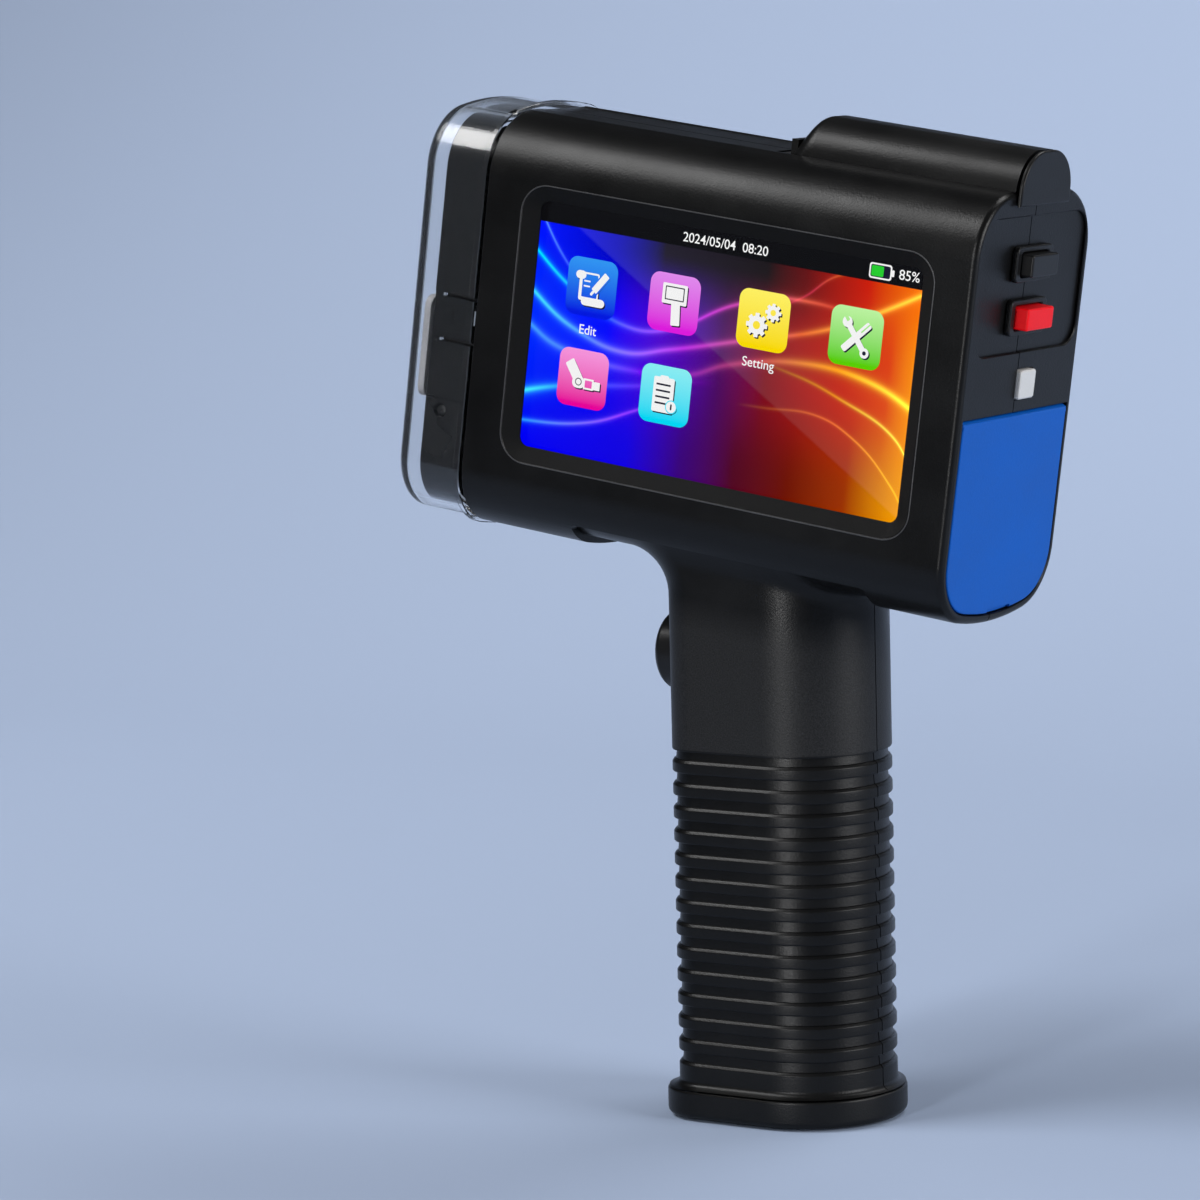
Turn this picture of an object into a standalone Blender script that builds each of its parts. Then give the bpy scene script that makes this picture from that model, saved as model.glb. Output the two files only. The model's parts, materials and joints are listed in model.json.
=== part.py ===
"""Handheld pistol-grip date code printer, built as separate pieces.

Everything is sized in millimetres through the constants below and made in metres.
Two frames carry the pieces. The head frame sits at the centre of the screen's length,
on the printer's mid plane, tilted so that the muzzle looks slightly up: h runs to the
rear, y away from the screen side, v up. The grip frame is upright and starts at the
foot: x to the rear, y away from the screen side, z up.
"""

import math

import bmesh
import bpy
from mathutils import Matrix, Vector

MM = 0.001
GAP = 0.3  # clearance between neighbouring pieces
TILT = math.radians(8.35)  # the muzzle's rise above level
HEAD_X = 7.55  # head frame's place in the part's frame
HEAD_Z = 166.8

# Head section: a tall rounded rectangle with a crowned top and bottom.
HEAD_HALF = 25.0
HEAD_TOP = 44.9
HEAD_BOTTOM = -48.2
HEAD_CORNER = 13.5
HEAD_CROWN = 80.0
HEAD_MIDDLE = (HEAD_TOP + HEAD_BOTTOM) / 2
WALL = 2.4
REAR_WALL = 3.6
FRONT_H = -60.5  # muzzle end of the housings
REAR_H = 60.5  # rear end of the housings
SEAM_Y = -1.5  # where the two housings meet

# Screen window in the screen-side housing.
WINDOW_L, WINDOW_T = 95.0, 53.9
BEZEL_L, BEZEL_T = 102.5, 60.8
BEZEL_CORNER = 6.5
WINDOW_DEPTH = 2.1

# Grip section: flat sides, tight front corners and a round back.
GRIP_FRONT = -19.5
GRIP_LENGTH = 44.8
GRIP_WIDTH = 37.5
GRIP_CORNER = 8.0
GRIP_WALL = 3.2
GRIP_BOTTOM = 6.9
GRIP_MIDDLE = GRIP_FRONT + GRIP_LENGTH / 2
FLARE = 9.0  # radius where the grip's front runs into the head
SIDE_FLARE = 3.6  # the same at its sides and back
SADDLE_DEPTH = 1.6
SADDLE_FRONT, SADDLE_REAR = -33.0, 41.0
SADDLE_TOP = -42.2
NECK_END = 81.1
RING_COUNT = 14
RING_TOP = 79.05
RING_PITCH = 5.127
RING_FACE = 3.4
RING_DEPTH = 1.0
FOOT_FRONT, FOOT_SIDE, FOOT_REAR = 2.7, 2.3, 2.0  # how far the foot stands out
FOOT_TOP = 6.5

# Muzzle.
NOSE_H = -73.0
NOSE_INSET = 2.2
SNOUT_H = -74.0
NOZZLE_Y, NOZZLE_V = 3.25, -12.0
GUARD_H = -78.0
GUARD_WALL = 1.5
TAB_LOW, TAB_HIGH = -7.1, 3.1

# Ink cartridge.
CART_FRONT, CART_REAR = -57.0, 13.0
CART_LOW, CART_HIGH = -25.3, 37.7
CART_NEAR, CART_FAR = -10.0, 16.5

# Side door for the cartridge, hinged on its rear edge.
BAY_FRONT, BAY_REAR = -56.0, 36.0
BAY_LOW, BAY_HIGH = -27.0, 39.4
BAY_HINGE_TOP = 29.5
PIN_R = 0.5
BEAD_R = 1.3

# Buttons on the rear face, as (y, v) centres.
FUNCTION_AT = (-0.6, 28.8)
POWER_AT = (-0.9, 17.6)
SELECT_AT = (1.9, 3.0)
CAP_SIZE = (11.3, 4.7)
PANEL_H = REAR_H - 0.8  # floor of the recess around the buttons
PANEL_LOW, PANEL_HIGH = 10.0, 38.8

# Rear door over the sockets, hinged on its top edge.
PORT_TOP = -3.2
PORT_INSET = 2.2
PORT_THICK = 1.9
PORT_OUT = REAR_H + 0.1
PORT_AXIS = (PORT_OUT - BEAD_R, PORT_TOP - BEAD_R)

# Arched cover on top, hinged at its front foot on a pin sunk in the head.
HUMP_Y = -0.1
HUMP_HALF = 10.8
HUMP_TOP = 52.6
HUMP_CORNER = 8.8
HUMP_AXIS = (2.6, 43.2)
HUMP_BEAD = 1.1
HUMP_RAMP = ((3.6, 44.6), (8.2, 50.9), (9.0, 51.8), (9.8, 52.35), (10.8, 52.6))
HUMP_END = 60.2

# Trigger on the front of the grip.
TRIGGER_Z = 100.6
TRIGGER_R = 8.8
TRIGGER_TIP = -28.4

BLACK = (0.012, 0.012, 0.013)
SATIN_BLACK = (0.02, 0.02, 0.021)
COLOURS = {
    "housing": (BLACK, 0.42, 0.0),
    "nose": (BLACK, 0.16, 0.0),
    "clear": ((0.85, 0.88, 0.9), 0.05, 0.0),
    "glass": ((0.01, 0.01, 0.015), 0.05, 0.0),
    "screen": ((0.05, 0.05, 0.4), 0.3, 0.0),
    "blue": ((0.005, 0.09, 0.4), 0.4, 0.0),
    "red": ((0.7, 0.01, 0.015), 0.3, 0.0),
    "grey": ((0.5, 0.5, 0.5), 0.4, 0.0),
    "rubber": ((0.03, 0.03, 0.03), 0.8, 0.0),
    "seal": ((0.18, 0.18, 0.18), 0.7, 0.0),
    "satin": (SATIN_BLACK, 0.5, 0.0),
    "steel": ((0.6, 0.6, 0.6), 0.3, 1.0),
    "gold": ((0.8, 0.55, 0.2), 0.3, 1.0),
    "board": ((0.01, 0.12, 0.05), 0.5, 0.0),
    "label": ((0.85, 0.85, 0.85), 0.6, 0.0),
    "cell": ((0.05, 0.25, 0.3), 0.4, 0.0),
}

parts = bpy.data.collections.new("date_code_printer")
cutters = bpy.data.collections.new("cutters")


# ---------------------------------------------------------------- scene and frames


def clear_scene():
    for item in list(bpy.data.objects):
        bpy.data.objects.remove(item)
    bpy.context.scene.collection.children.link(parts)
    bpy.context.scene.collection.children.link(cutters)


def frame(name, location, tilt=0.0):
    """An empty that carries the pieces of one frame."""
    empty = bpy.data.objects.new(name, None)
    empty.location = Vector(location) * MM
    empty.rotation_euler.y = tilt
    parts.objects.link(empty)
    return empty


def material(slot):
    """The plain material of one finish, made on first use."""
    found = bpy.data.materials.get(slot)
    if found:
        return found
    colour, roughness, metallic = COLOURS[slot]
    made = bpy.data.materials.new(slot)
    made.use_nodes = True
    shader = made.node_tree.nodes["Principled BSDF"]
    shader.inputs["Base Color"].default_value = (*colour, 1)
    shader.inputs["Roughness"].default_value = roughness
    shader.inputs["Metallic"].default_value = metallic
    return made


# ---------------------------------------------------------------- outlines


def arc(cx, cy, radius, start, end, steps):
    """Points on an arc, angles in radians from +x."""
    for i in range(steps + 1):
        angle = start + (end - start) * i / steps
        yield cx + radius * math.cos(angle), cy + radius * math.sin(angle)


def head_outline(inset=0.0, crown_steps=3, corner_steps=6):
    """(y, v) points of the head's section, anticlockwise from the far bottom."""
    half = HEAD_HALF - inset
    corner = HEAD_CORNER - inset
    crown = HEAD_CROWN - inset
    rise = (HEAD_TOP - HEAD_BOTTOM) / 2 - inset
    side = half - corner
    lean = math.asin(side / (crown - corner))
    centre = rise - crown + (crown - corner) * math.cos(lean)
    top = list(arc(side, centre, corner, 0, math.pi / 2 - lean, corner_steps))
    top += list(
        arc(0, rise - crown, crown, math.pi / 2 - lean, math.pi / 2, crown_steps)
    )[1:]
    quarter = top[:-1]
    mirrored = [(-y, v) for y, v in reversed(quarter)]
    upper = [*top, *mirrored]
    lower = [(-y, -v) for y, v in upper]
    return [(y, v + HEAD_MIDDLE) for y, v in [*upper, *lower]]


def underside(y, inset=0.0):
    """Height v of the head's lower surface at a distance y from the mid plane."""
    corner = HEAD_CORNER - inset
    crown = HEAD_CROWN - inset
    drop = (HEAD_TOP - HEAD_BOTTOM) / 2 - inset
    side = HEAD_HALF - HEAD_CORNER
    lean = math.asin(side / (crown - corner))
    y = abs(y)
    if y <= crown * math.sin(lean):
        return HEAD_MIDDLE - (drop - crown + math.sqrt(crown**2 - y**2))
    centre = drop - crown + (crown - corner) * math.cos(lean)
    return HEAD_MIDDLE - centre - math.sqrt(max(0.0, corner**2 - (y - side) ** 2))


def rounded_rectangle(cy, cv, width, height, radius, steps=4):
    """(y, v) points of a rectangle with round corners."""
    points = []
    for i, (sy, sv) in enumerate(((1, 1), (-1, 1), (-1, -1), (1, -1))):
        y = cy + sy * (width / 2 - radius)
        v = cv + sv * (height / 2 - radius)
        start = i * math.pi / 2
        points += arc(y, v, radius, start, start + math.pi / 2, steps)
    return points


def grip_outline(front=0.0, side=0.0, rear=0.0, corner_steps=4, back_steps=8):
    """(x, y) points of the grip's section, grown by the three amounts."""
    half = GRIP_WIDTH / 2 + side
    corner = max(GRIP_CORNER + min(side, front), 2.0)
    x0 = GRIP_FRONT - front
    x1 = GRIP_FRONT + GRIP_LENGTH + rear
    near = list(
        arc(x0 + corner, -half + corner, corner, math.pi, 1.5 * math.pi, corner_steps)
    )
    near += arc(x1 - half, 0, half, -math.pi / 2, 0, back_steps)
    far = [(x, -y) for x, y in reversed(near[:-1])]
    return [*near, *far]


# ---------------------------------------------------------------- mesh makers


def finish_object(name, mesh, slot, parent, hidden=False):
    """Links a mesh as a named piece, or as a hidden cutter."""
    item = bpy.data.objects.new(name, mesh)
    item.parent = parent
    mesh.materials.append(material(slot))
    mesh.set_sharp_from_angle(angle=math.radians(35))
    (cutters if hidden else parts).objects.link(item)
    if hidden:
        item.hide_render = True
        item.display_type = "WIRE"
    return item


def mesh_of(bm, name):
    """Turns a bmesh drawn in millimetres into a mesh in metres."""
    bmesh.ops.remove_doubles(bm, verts=bm.verts, dist=1e-5)
    bmesh.ops.recalc_face_normals(bm, faces=bm.faces)
    bmesh.ops.scale(bm, vec=(MM, MM, MM), verts=bm.verts)
    mesh = bpy.data.meshes.new(name)
    bm.to_mesh(mesh)
    bm.free()
    mesh.shade_smooth()
    return mesh


def loft(name, rings, slot, parent, hidden=False):
    """A closed solid through rings that have the same number of points."""
    bm = bmesh.new()
    rows = [[bm.verts.new(point) for point in ring] for ring in rings]
    bm.faces.new(rows[0])
    bm.faces.new(rows[-1])
    for low, high in zip(rows, rows[1:]):
        for i in range(len(low)):
            j = (i + 1) % len(low)
            bm.faces.new((low[i], low[j], high[j], high[i]))
    return finish_object(name, mesh_of(bm, name), slot, parent, hidden)


def along_h(outline, h):
    return [(h, y, v) for y, v in outline]


def prism_h(name, outline, h0, h1, slot, parent, hidden=False):
    """An outline in y and v, run along h."""
    rings = [along_h(outline, h0), along_h(outline, h1)]
    return loft(name, rings, slot, parent, hidden)


def prism_y(name, outline, y0, y1, slot, parent, hidden=False):
    """An outline in h and v, run along y."""
    rings = [[(h, y, v) for h, v in outline] for y in (y0, y1)]
    return loft(name, rings, slot, parent, hidden)


def head_solid(name, inset, h0, h1, slot, parent, hidden=True):
    return prism_h(name, head_outline(inset), h0, h1, slot, parent, hidden)


def box(name, low, high, slot, parent, round_by=0.0, hidden=False):
    """A block between two corners, with rounded edges if asked."""
    bm = bmesh.new()
    bmesh.ops.create_cube(bm, size=1)
    size = Vector(high) - Vector(low)
    bmesh.ops.scale(bm, vec=size, verts=bm.verts)
    bmesh.ops.translate(bm, vec=Vector(low) + size / 2, verts=bm.verts)
    if round_by:
        bmesh.ops.bevel(
            bm,
            geom=bm.edges[:],
            offset=round_by,
            segments=2,
            profile=0.5,
            affect="EDGES",
            material=-1,
        )
    return finish_object(name, mesh_of(bm, name), slot, parent, hidden)


def rod(name, start, end, radius, slot, parent, sides=20, hidden=False):
    """A cylinder between two points."""
    bm = bmesh.new()
    span = Vector(end) - Vector(start)
    turn = span.to_track_quat("Z", "Y").to_matrix().to_4x4()
    bmesh.ops.create_cone(
        bm,
        cap_ends=True,
        segments=sides,
        radius1=radius,
        radius2=radius,
        depth=span.length,
        matrix=Matrix.Translation(Vector(start) + span / 2) @ turn,
    )
    return finish_object(name, mesh_of(bm, name), slot, parent, hidden)


def turned(name, profile, place, axis, slot, parent, sides=32, hidden=False):
    """A solid of revolution: (radius, height) profile about an axis through place."""
    turn = Vector(axis).to_track_quat("Z", "Y").to_matrix()
    rings = []
    for radius, height in profile:
        ring = [
            turn @ Vector((x, y, height)) + Vector(place)
            for x, y in list(arc(0, 0, radius, 0, 2 * math.pi, sides))[:-1]
        ]
        rings.append(ring)
    return loft(name, rings, slot, parent, hidden)


# ---------------------------------------------------------------- booleans


def combine(item, operation, others):
    """Adds exact Boolean modifiers to a piece."""
    for other in others:
        modifier = item.modifiers.new(other.name, "BOOLEAN")
        modifier.operation = operation
        modifier.solver = "EXACT"
        modifier.object = other
    return item


def cut(item, *others):
    return combine(item, "DIFFERENCE", others)


def join(item, *others):
    return combine(item, "UNION", others)


def keep(item, *others):
    return combine(item, "INTERSECT", others)


# ---------------------------------------------------------------- housings


def head_body(head):
    """The head's outer form, rounded at both ends, with the saddle sunk in its base."""
    rings = [
        along_h(head_outline(0.5), FRONT_H),
        along_h(head_outline(0.0), FRONT_H + 0.5),
        along_h(head_outline(0.0), REAR_H - 1.4),
        along_h(head_outline(0.35), REAR_H - 0.5),
        along_h(head_outline(1.3), REAR_H),
    ]
    body = loft("head_body", rings, "housing", head, hidden=True)
    saddle = box(
        "saddle_cutter",
        (SADDLE_FRONT, -40, -60),
        (SADDLE_REAR, 40, SADDLE_TOP),
        "housing",
        head,
        round_by=1.2,
        hidden=True,
    )
    core = head_solid("saddle_core", SADDLE_DEPTH, -50, 50, "housing", head)
    cut(saddle, core)
    return cut(body, saddle)


def grip_ring(height, front=0.0, side=0.0, rear=0.0):
    """One level of the grip: its outline at a height."""
    return [(x, y, height) for x, y in grip_outline(front, side, rear)]


def saddle_ring(depth, front, side):
    """A level of the grip that follows the saddle's floor at a depth below it."""
    ring = []
    for x, y in grip_outline(front, side, side):
        floor = underside(y, SADDLE_DEPTH)
        height = HEAD_Z + (floor - math.sin(TILT) * x) / math.cos(TILT)
        ring.append((x, y, height - depth))
    return ring


def flare(depth, radius):
    """How far a fillet of this radius has spread at a depth below the floor."""
    share = max(0.0, 1 - max(0.0, depth) / radius)
    return radius * (1 - math.sqrt(1 - share**2))


def grip_body(grip):
    """The grip's outer form: flared foot, ribbed handle, plain neck and flared top."""
    flare_bottom = RING_TOP - (RING_COUNT - 1) * RING_PITCH - RING_FACE
    sunk = [-RING_DEPTH] * 3
    levels = []
    for share in (0, 0.25, 0.5, 0.75, 1):
        lift = 0.85 * (1 - math.sqrt(1 - (1 - share) ** 2))
        height = GRIP_BOTTOM + (flare_bottom - GRIP_BOTTOM) * share
        grown = [lift * most for most in (FOOT_FRONT, FOOT_SIDE, FOOT_REAR)]
        levels.append(grip_ring(height, *grown))
    for i in reversed(range(RING_COUNT)):
        top = RING_TOP - i * RING_PITCH
        if i < RING_COUNT - 1:
            levels.append(grip_ring(top - RING_FACE))
        levels.append(grip_ring(top - 0.25))
        levels.append(grip_ring(top, -0.3, -0.3, -0.3))
        levels.append(grip_ring(top + 0.05, *sunk))
        groove_end = top + RING_PITCH - RING_FACE if i else NECK_END
        levels.append(grip_ring(groove_end - 0.2, *sunk))
    levels.append(grip_ring(NECK_END))
    for depth in (10, 7.2, 5.0, 3.2, 1.8, 0.8, 0.2, -0.15, -8):
        levels.append(saddle_ring(depth, flare(depth, FLARE), flare(depth, SIDE_FLARE)))
    return loft("grip_body", levels, "housing", grip, hidden=True)


def grip_core(grip, name="grip_core"):
    """The hollow inside the grip, open at the foot and into the head."""
    rings = [
        grip_ring(height, -GRIP_WALL, -GRIP_WALL, -GRIP_WALL)
        for height in (GRIP_BOTTOM - 2, HEAD_Z - 40)
    ]
    return loft(name, rings, "housing", grip, hidden=True)


def screen_cutter(head):
    """The bezel's chamfer and the window through the wall."""
    outer = rounded_rectangle(0, 0, BEZEL_L, BEZEL_T, BEZEL_CORNER, 5)
    inner = rounded_rectangle(0, 0, WINDOW_L, WINDOW_T, 2.2, 5)
    rings = []
    for outline, depth in (
        (outer, -1.0),
        (outer, 0.0),
        (inner, WINDOW_DEPTH),
        (inner, 4.0),
    ):
        rings.append([(h, -HEAD_HALF + depth, v) for h, v in outline])
    return loft("screen_cutter", rings, "housing", head, hidden=True)


def port_outline(inset):
    """The rear door's outline: the head's section cut off below its hinge."""
    points = [p for p in head_outline(inset) if p[1] < PORT_AXIS[1]]
    half = HEAD_HALF - inset
    order = sorted(points, key=lambda p: math.atan2(p[1] + 20, p[0]))
    left = [p for p in order if p[0] < 0]
    right = [p for p in order if p[0] >= 0]
    return [(-half, PORT_AXIS[1]), *left, *right, (half, PORT_AXIS[1])]


def rear_cutters(head):
    """The openings in the rear face: port window, button holes and the recess."""
    rebate, opening = (
        [(y, v if v < PORT_AXIS[1] else top) for y, v in port_outline(inset)]
        for inset, top in (
            (PORT_INSET - GAP, PORT_TOP + GAP),
            (PORT_INSET + 1.3, PORT_AXIS[1] - 3),
        )
    )
    rebate_floor = PORT_OUT - PORT_THICK - GAP
    hinge_line = (PORT_AXIS[0], 24.1, PORT_AXIS[1])
    half = HEAD_HALF - PORT_INSET + GAP
    holes = [
        prism_h("port_rebate", rebate, rebate_floor, 70, "housing", head, True),
        prism_h("port_window", opening, 50, 70, "housing", head, True),
        rod(
            "port_bead_way",
            (PORT_AXIS[0], -half, PORT_AXIS[1]),
            (PORT_AXIS[0], half, PORT_AXIS[1]),
            BEAD_R + GAP,
            "housing",
            head,
            20,
            True,
        ),
        prism_h(
            "panel_recess",
            rounded_rectangle(
                0.5, (PANEL_LOW + PANEL_HIGH) / 2, 45, PANEL_HIGH - PANEL_LOW, 5
            ),
            PANEL_H,
            70,
            "housing",
            head,
            True,
        ),
    ]
    for name, at, size in (
        ("function_hole", FUNCTION_AT, (14.2, 6.6)),
        ("power_hole", POWER_AT, (14.2, 6.6)),
        ("select_hole", SELECT_AT, (7.4, 6.8)),
    ):
        outline = rounded_rectangle(*at, *size, 0.8, 3)
        holes.append(prism_h(name, outline, 50, 70, "housing", head, True))
    holes.append(
        rod(
            "port_pin_hole",
            (PORT_AXIS[0], -24.1, PORT_AXIS[1]),
            hinge_line,
            PIN_R + 0.15,
            "housing",
            head,
            12,
            True,
        )
    )
    return holes


def bay_cutter(head):
    return box(
        "bay_cutter",
        (BAY_FRONT, 5, BAY_LOW),
        (BAY_REAR, 40, BAY_HIGH),
        "housing",
        head,
        hidden=True,
    )


def screw_places():
    """(frame name, first, second) places of the four case screws."""
    return (
        ("head", 48.0, 36.2),
        ("head", -50.0, -38.0),
        ("head", 42.0, -38.5),
        ("grip", 9.0, 94.0),
    )


def housings(head, grip):
    """The two shells that make the head and the grip, split along the seam."""
    body = join(head_body(head), grip_body(grip))
    head_core = head_solid(
        "head_core", WALL, FRONT_H - 3, REAR_H - REAR_WALL, "housing", head
    )
    core = grip_core(grip)
    trigger_hole = rod(
        "trigger_hole",
        (-40, 0, TRIGGER_Z),
        (-5, 0, TRIGGER_Z),
        10.2,
        "housing",
        grip,
        32,
        True,
    )
    cover_slot = box(
        "cover_slot", (16, -6.5, 30), (54, 8, 60), "housing", head, hidden=True
    )
    common = [head_core, core, trigger_hole, cover_slot, *rear_cutters(head)]
    hinge = [
        prism_y(
            "hump_slot",
            hump_slot(),
            HUMP_Y - HUMP_HALF + 2.0,
            HUMP_Y + HUMP_HALF - 2.0,
            "housing",
            head,
            True,
        ),
        rod(
            "hump_pin_hole",
            (HUMP_AXIS[0], HUMP_Y - 11.4, HUMP_AXIS[1]),
            (HUMP_AXIS[0], HUMP_Y + 11.4, HUMP_AXIS[1]),
            PIN_R + 0.1,
            "housing",
            head,
            12,
            True,
        ),
    ]
    halves = []
    for name, low, high in (
        ("front_housing", -60, SEAM_Y - GAP / 2),
        ("rear_housing", SEAM_Y + GAP / 2, 60),
    ):
        half = box(
            name, (-160, low, -20), (160, high, 260), "housing", None, hidden=False
        )
        half.data.materials.clear()
        half.data.materials.append(material("housing"))
        keep(half, body)
        cut(half, *common)
        halves.append(half)
    front, rear = halves
    cut(front, screen_cutter(head))
    cut(rear, bay_cutter(head))
    pin_hole = rod(
        "bay_pin_hole",
        (BAY_REAR - GAP - BEAD_R, HEAD_HALF - BEAD_R, BAY_LOW - 2),
        (BAY_REAR - GAP - BEAD_R, HEAD_HALF - BEAD_R, BAY_LOW + 5),
        PIN_R + 0.15,
        "housing",
        head,
        12,
        True,
    )
    cut(rear, pin_hole)
    for half in halves:
        cut(half, *hinge)
    for i, (where, a, b) in enumerate(screw_places()):
        parent = head if where == "head" else grip
        wall = 21.5 if where == "head" else 16.5
        join(
            front,
            rod(
                f"boss_front_{i}",
                (a, -wall, b),
                (a, SEAM_Y - GAP / 2, b),
                2.8,
                "housing",
                parent,
                16,
                True,
            ),
        )
        join(
            rear,
            rod(
                f"boss_rear_{i}",
                (a, SEAM_Y + GAP / 2, b),
                (a, wall, b),
                3.6,
                "housing",
                parent,
                16,
                True,
            ),
        )
        cut(
            front,
            rod(
                f"pilot_{i}",
                (a, -13.5, b),
                (a, 0, b),
                1.5,
                "housing",
                parent,
                12,
                True,
            ),
        )
        cut(
            rear,
            rod(
                f"screw_way_{i}",
                (a, -5, b),
                (a, 20, b),
                1.5,
                "housing",
                parent,
                12,
                True,
            ),
            rod(
                f"screw_well_{i}",
                (a, 10, b),
                (a, 30, b),
                2.7,
                "housing",
                parent,
                16,
                True,
            ),
        )
        turned(
            f"case_screw_{i + 1}",
            ((1.2, -12.5), (1.2, 10.3), (2.4, 10.3), (2.4, 11.3), (1.9, 11.8)),
            (a, 0, b),
            (0, 1, 0),
            "steel",
            parent,
            sides=16,
        )
    return front, rear


# ---------------------------------------------------------------- muzzle


def nose(head):
    """The black block that closes the muzzle and frames the nozzle."""
    body = loft(
        "nose_frame",
        [
            along_h(head_outline(WALL + 0.5), -54.0),
            along_h(head_outline(WALL + 0.5), FRONT_H - GAP),
            along_h(head_outline(NOSE_INSET), FRONT_H - GAP - 0.01),
            along_h(head_outline(NOSE_INSET), NOSE_H + 0.8),
            along_h(head_outline(NOSE_INSET + 0.25), NOSE_H + 0.25),
            along_h(head_outline(NOSE_INSET + 0.8), NOSE_H),
        ],
        "nose",
        head,
    )
    hollow = head_solid("nose_hollow", 5.0, NOSE_H + 3.0, -50, "nose", head)
    snout = prism_h(
        "snout",
        rounded_rectangle(NOZZLE_Y, NOZZLE_V, 25, 23, 2.0),
        SNOUT_H,
        NOSE_H + 2,
        "nose",
        head,
        True,
    )
    window = prism_h(
        "nozzle_window",
        rounded_rectangle(NOZZLE_Y, NOZZLE_V, 17, 18, 1.5),
        -80,
        -50,
        "nose",
        head,
        True,
    )
    channels = [
        box(
            f"tab_channel_{side}",
            (-80, min(side * 22.0, side * 30), TAB_LOW),
            (FRONT_H - GAP - 0.4, max(side * 22.0, side * 30), TAB_HIGH),
            "nose",
            head,
            hidden=True,
        )
        for side in (-1, 1)
    ]
    groove = box(
        "nose_groove", (-80, -30, -20.5), (FRONT_H - 1, -22.35, -19.9), "nose", head,
        hidden=True,
    )
    screw_hole = rod(
        "nose_screw_hole", (-68.6, -30, -22.9), (-68.6, -21.6, -22.9), 1.6, "nose",
        head, 16, True,
    )
    join(body, snout)
    cut(body, hollow, window, *channels, groove, screw_hole)
    turned(
        "nose_screw",
        ((1.1, 0.0), (1.1, 0.25), (0.8, 0.35)),
        (-68.6, -21.9, -22.9),
        (0, -1, 0),
        "satin",
        head,
        sides=12,
    )


def nozzle_guard(head):
    """The clear snap-on cap over the nose, with its rim, slits and hooks."""
    inner = NOSE_INSET - GAP
    outer = inner - GUARD_WALL
    rim_start = FRONT_H - GAP
    guard = loft(
        "nozzle_guard",
        [
            along_h(head_outline(-0.7), rim_start),
            along_h(head_outline(-0.7), rim_start - 1.3),
            along_h(head_outline(outer), rim_start - 1.6),
            along_h(head_outline(outer), GUARD_H + 2.0),
            along_h(head_outline(outer + 0.55), GUARD_H + 0.55),
            along_h(head_outline(outer + 2.0), GUARD_H),
        ],
        "clear",
        head,
    )
    hollow = head_solid(
        "guard_hollow", inner, GUARD_H + 1.8, rim_start + 5, "clear", head
    )
    cut(guard, hollow)
    for side in (-1, 1):
        near = side * (HEAD_HALF - inner)
        hook = box(
            f"guard_hook_{side}",
            (-67.5, min(near - side * 0.55, near + side * 0.3), -3.6),
            (-65.5, max(near - side * 0.55, near + side * 0.3), -0.4),
            "clear",
            head,
            hidden=True,
        )
        join(guard, hook)
        for i, v in enumerate((TAB_LOW - 0.2, TAB_HIGH - 0.5)):
            slit = box(
                f"guard_slit_{side}_{i}",
                (-69.5, min(side * 20, side * 40), v),
                (-50, max(side * 20, side * 40), v + 0.7),
                "clear",
                head,
                hidden=True,
            )
            cut(guard, slit)
    prism_h(
        "nozzle_seal",
        rounded_rectangle(0, -9.8, 43.0, 22.6, 2.5),
        GUARD_H + 1.8 + GAP,
        GUARD_H + 1.8 + GAP + 1.6,
        "seal",
        head,
    )


# ---------------------------------------------------------------- screen and boards


def screen_stack(head):
    """Touch glass, display and main board behind the window."""
    back = -HEAD_HALF + WALL + GAP
    glass = rounded_rectangle(0, 0, 100, 58.6, 2.5, 3)
    loft(
        "touch_glass",
        [[(h, y, v) for h, v in glass] for y in (back, back + 1.1)],
        "glass",
        head,
    )
    box("lcd_module", (-49, back + 1.4, -28.5), (49, back + 4.4, 28.5), "screen", head)
    board = box(
        "main_board", (-54, -16.6, -32), (49.4, -15.0, 32), "board", head
    )
    chips = (
        ("processor", -8, 4, 14, 14, 1.4),
        ("memory", 12, 6, 11, 8, 1.0),
        ("driver", -34, -18, 9, 9, 1.2),
        ("connector", 40, 8, 5, 26, 2.6),
        ("ribbon_socket", -20, -27, 24, 4, 2.0),
    )
    for name, h, v, length, tall, thick in chips:
        chip = box(
            name,
            (h - length / 2, -15.4, v - tall / 2),
            (h + length / 2, -15.0 + thick, v + tall / 2),
            "board",
            head,
            hidden=True,
        )
        join(board, chip)
    rod("buzzer", (32, -14.7, -16), (32, -11.5, -16), 4.5, "satin", head)


# ---------------------------------------------------------------- cartridge


def cradle(head):
    """The tray that holds the cartridge, open at the top and on the far side."""
    tray = box(
        "cartridge_cradle", (-58.6, -11.9, -28.4), (26.4, 17.5, 30.0), "satin", head
    )
    cut(
        tray,
        box(
            "cradle_hollow",
            (-57.3, -10.4, -27.0),
            (24.9, 30, 60),
            "satin",
            head,
            hidden=True,
        ),
        box(
            "cradle_window",
            (-70, -6.5, -22.5),
            (-50, 13.0, -1.5),
            "satin",
            head,
            hidden=True,
        ),
    )
    box("contact_board", (-55, -5, -26.7), (-35, 12, -25.7), "board", head)
    spring = box("cartridge_spring", (23.2, -3, -20), (24.5, 9, 14), "steel", head)
    hollow = box(
        "spring_notch", (22, -1, -16), (25.5, 7, 10), "steel", head, hidden=True
    )
    cut(spring, hollow)


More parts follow.
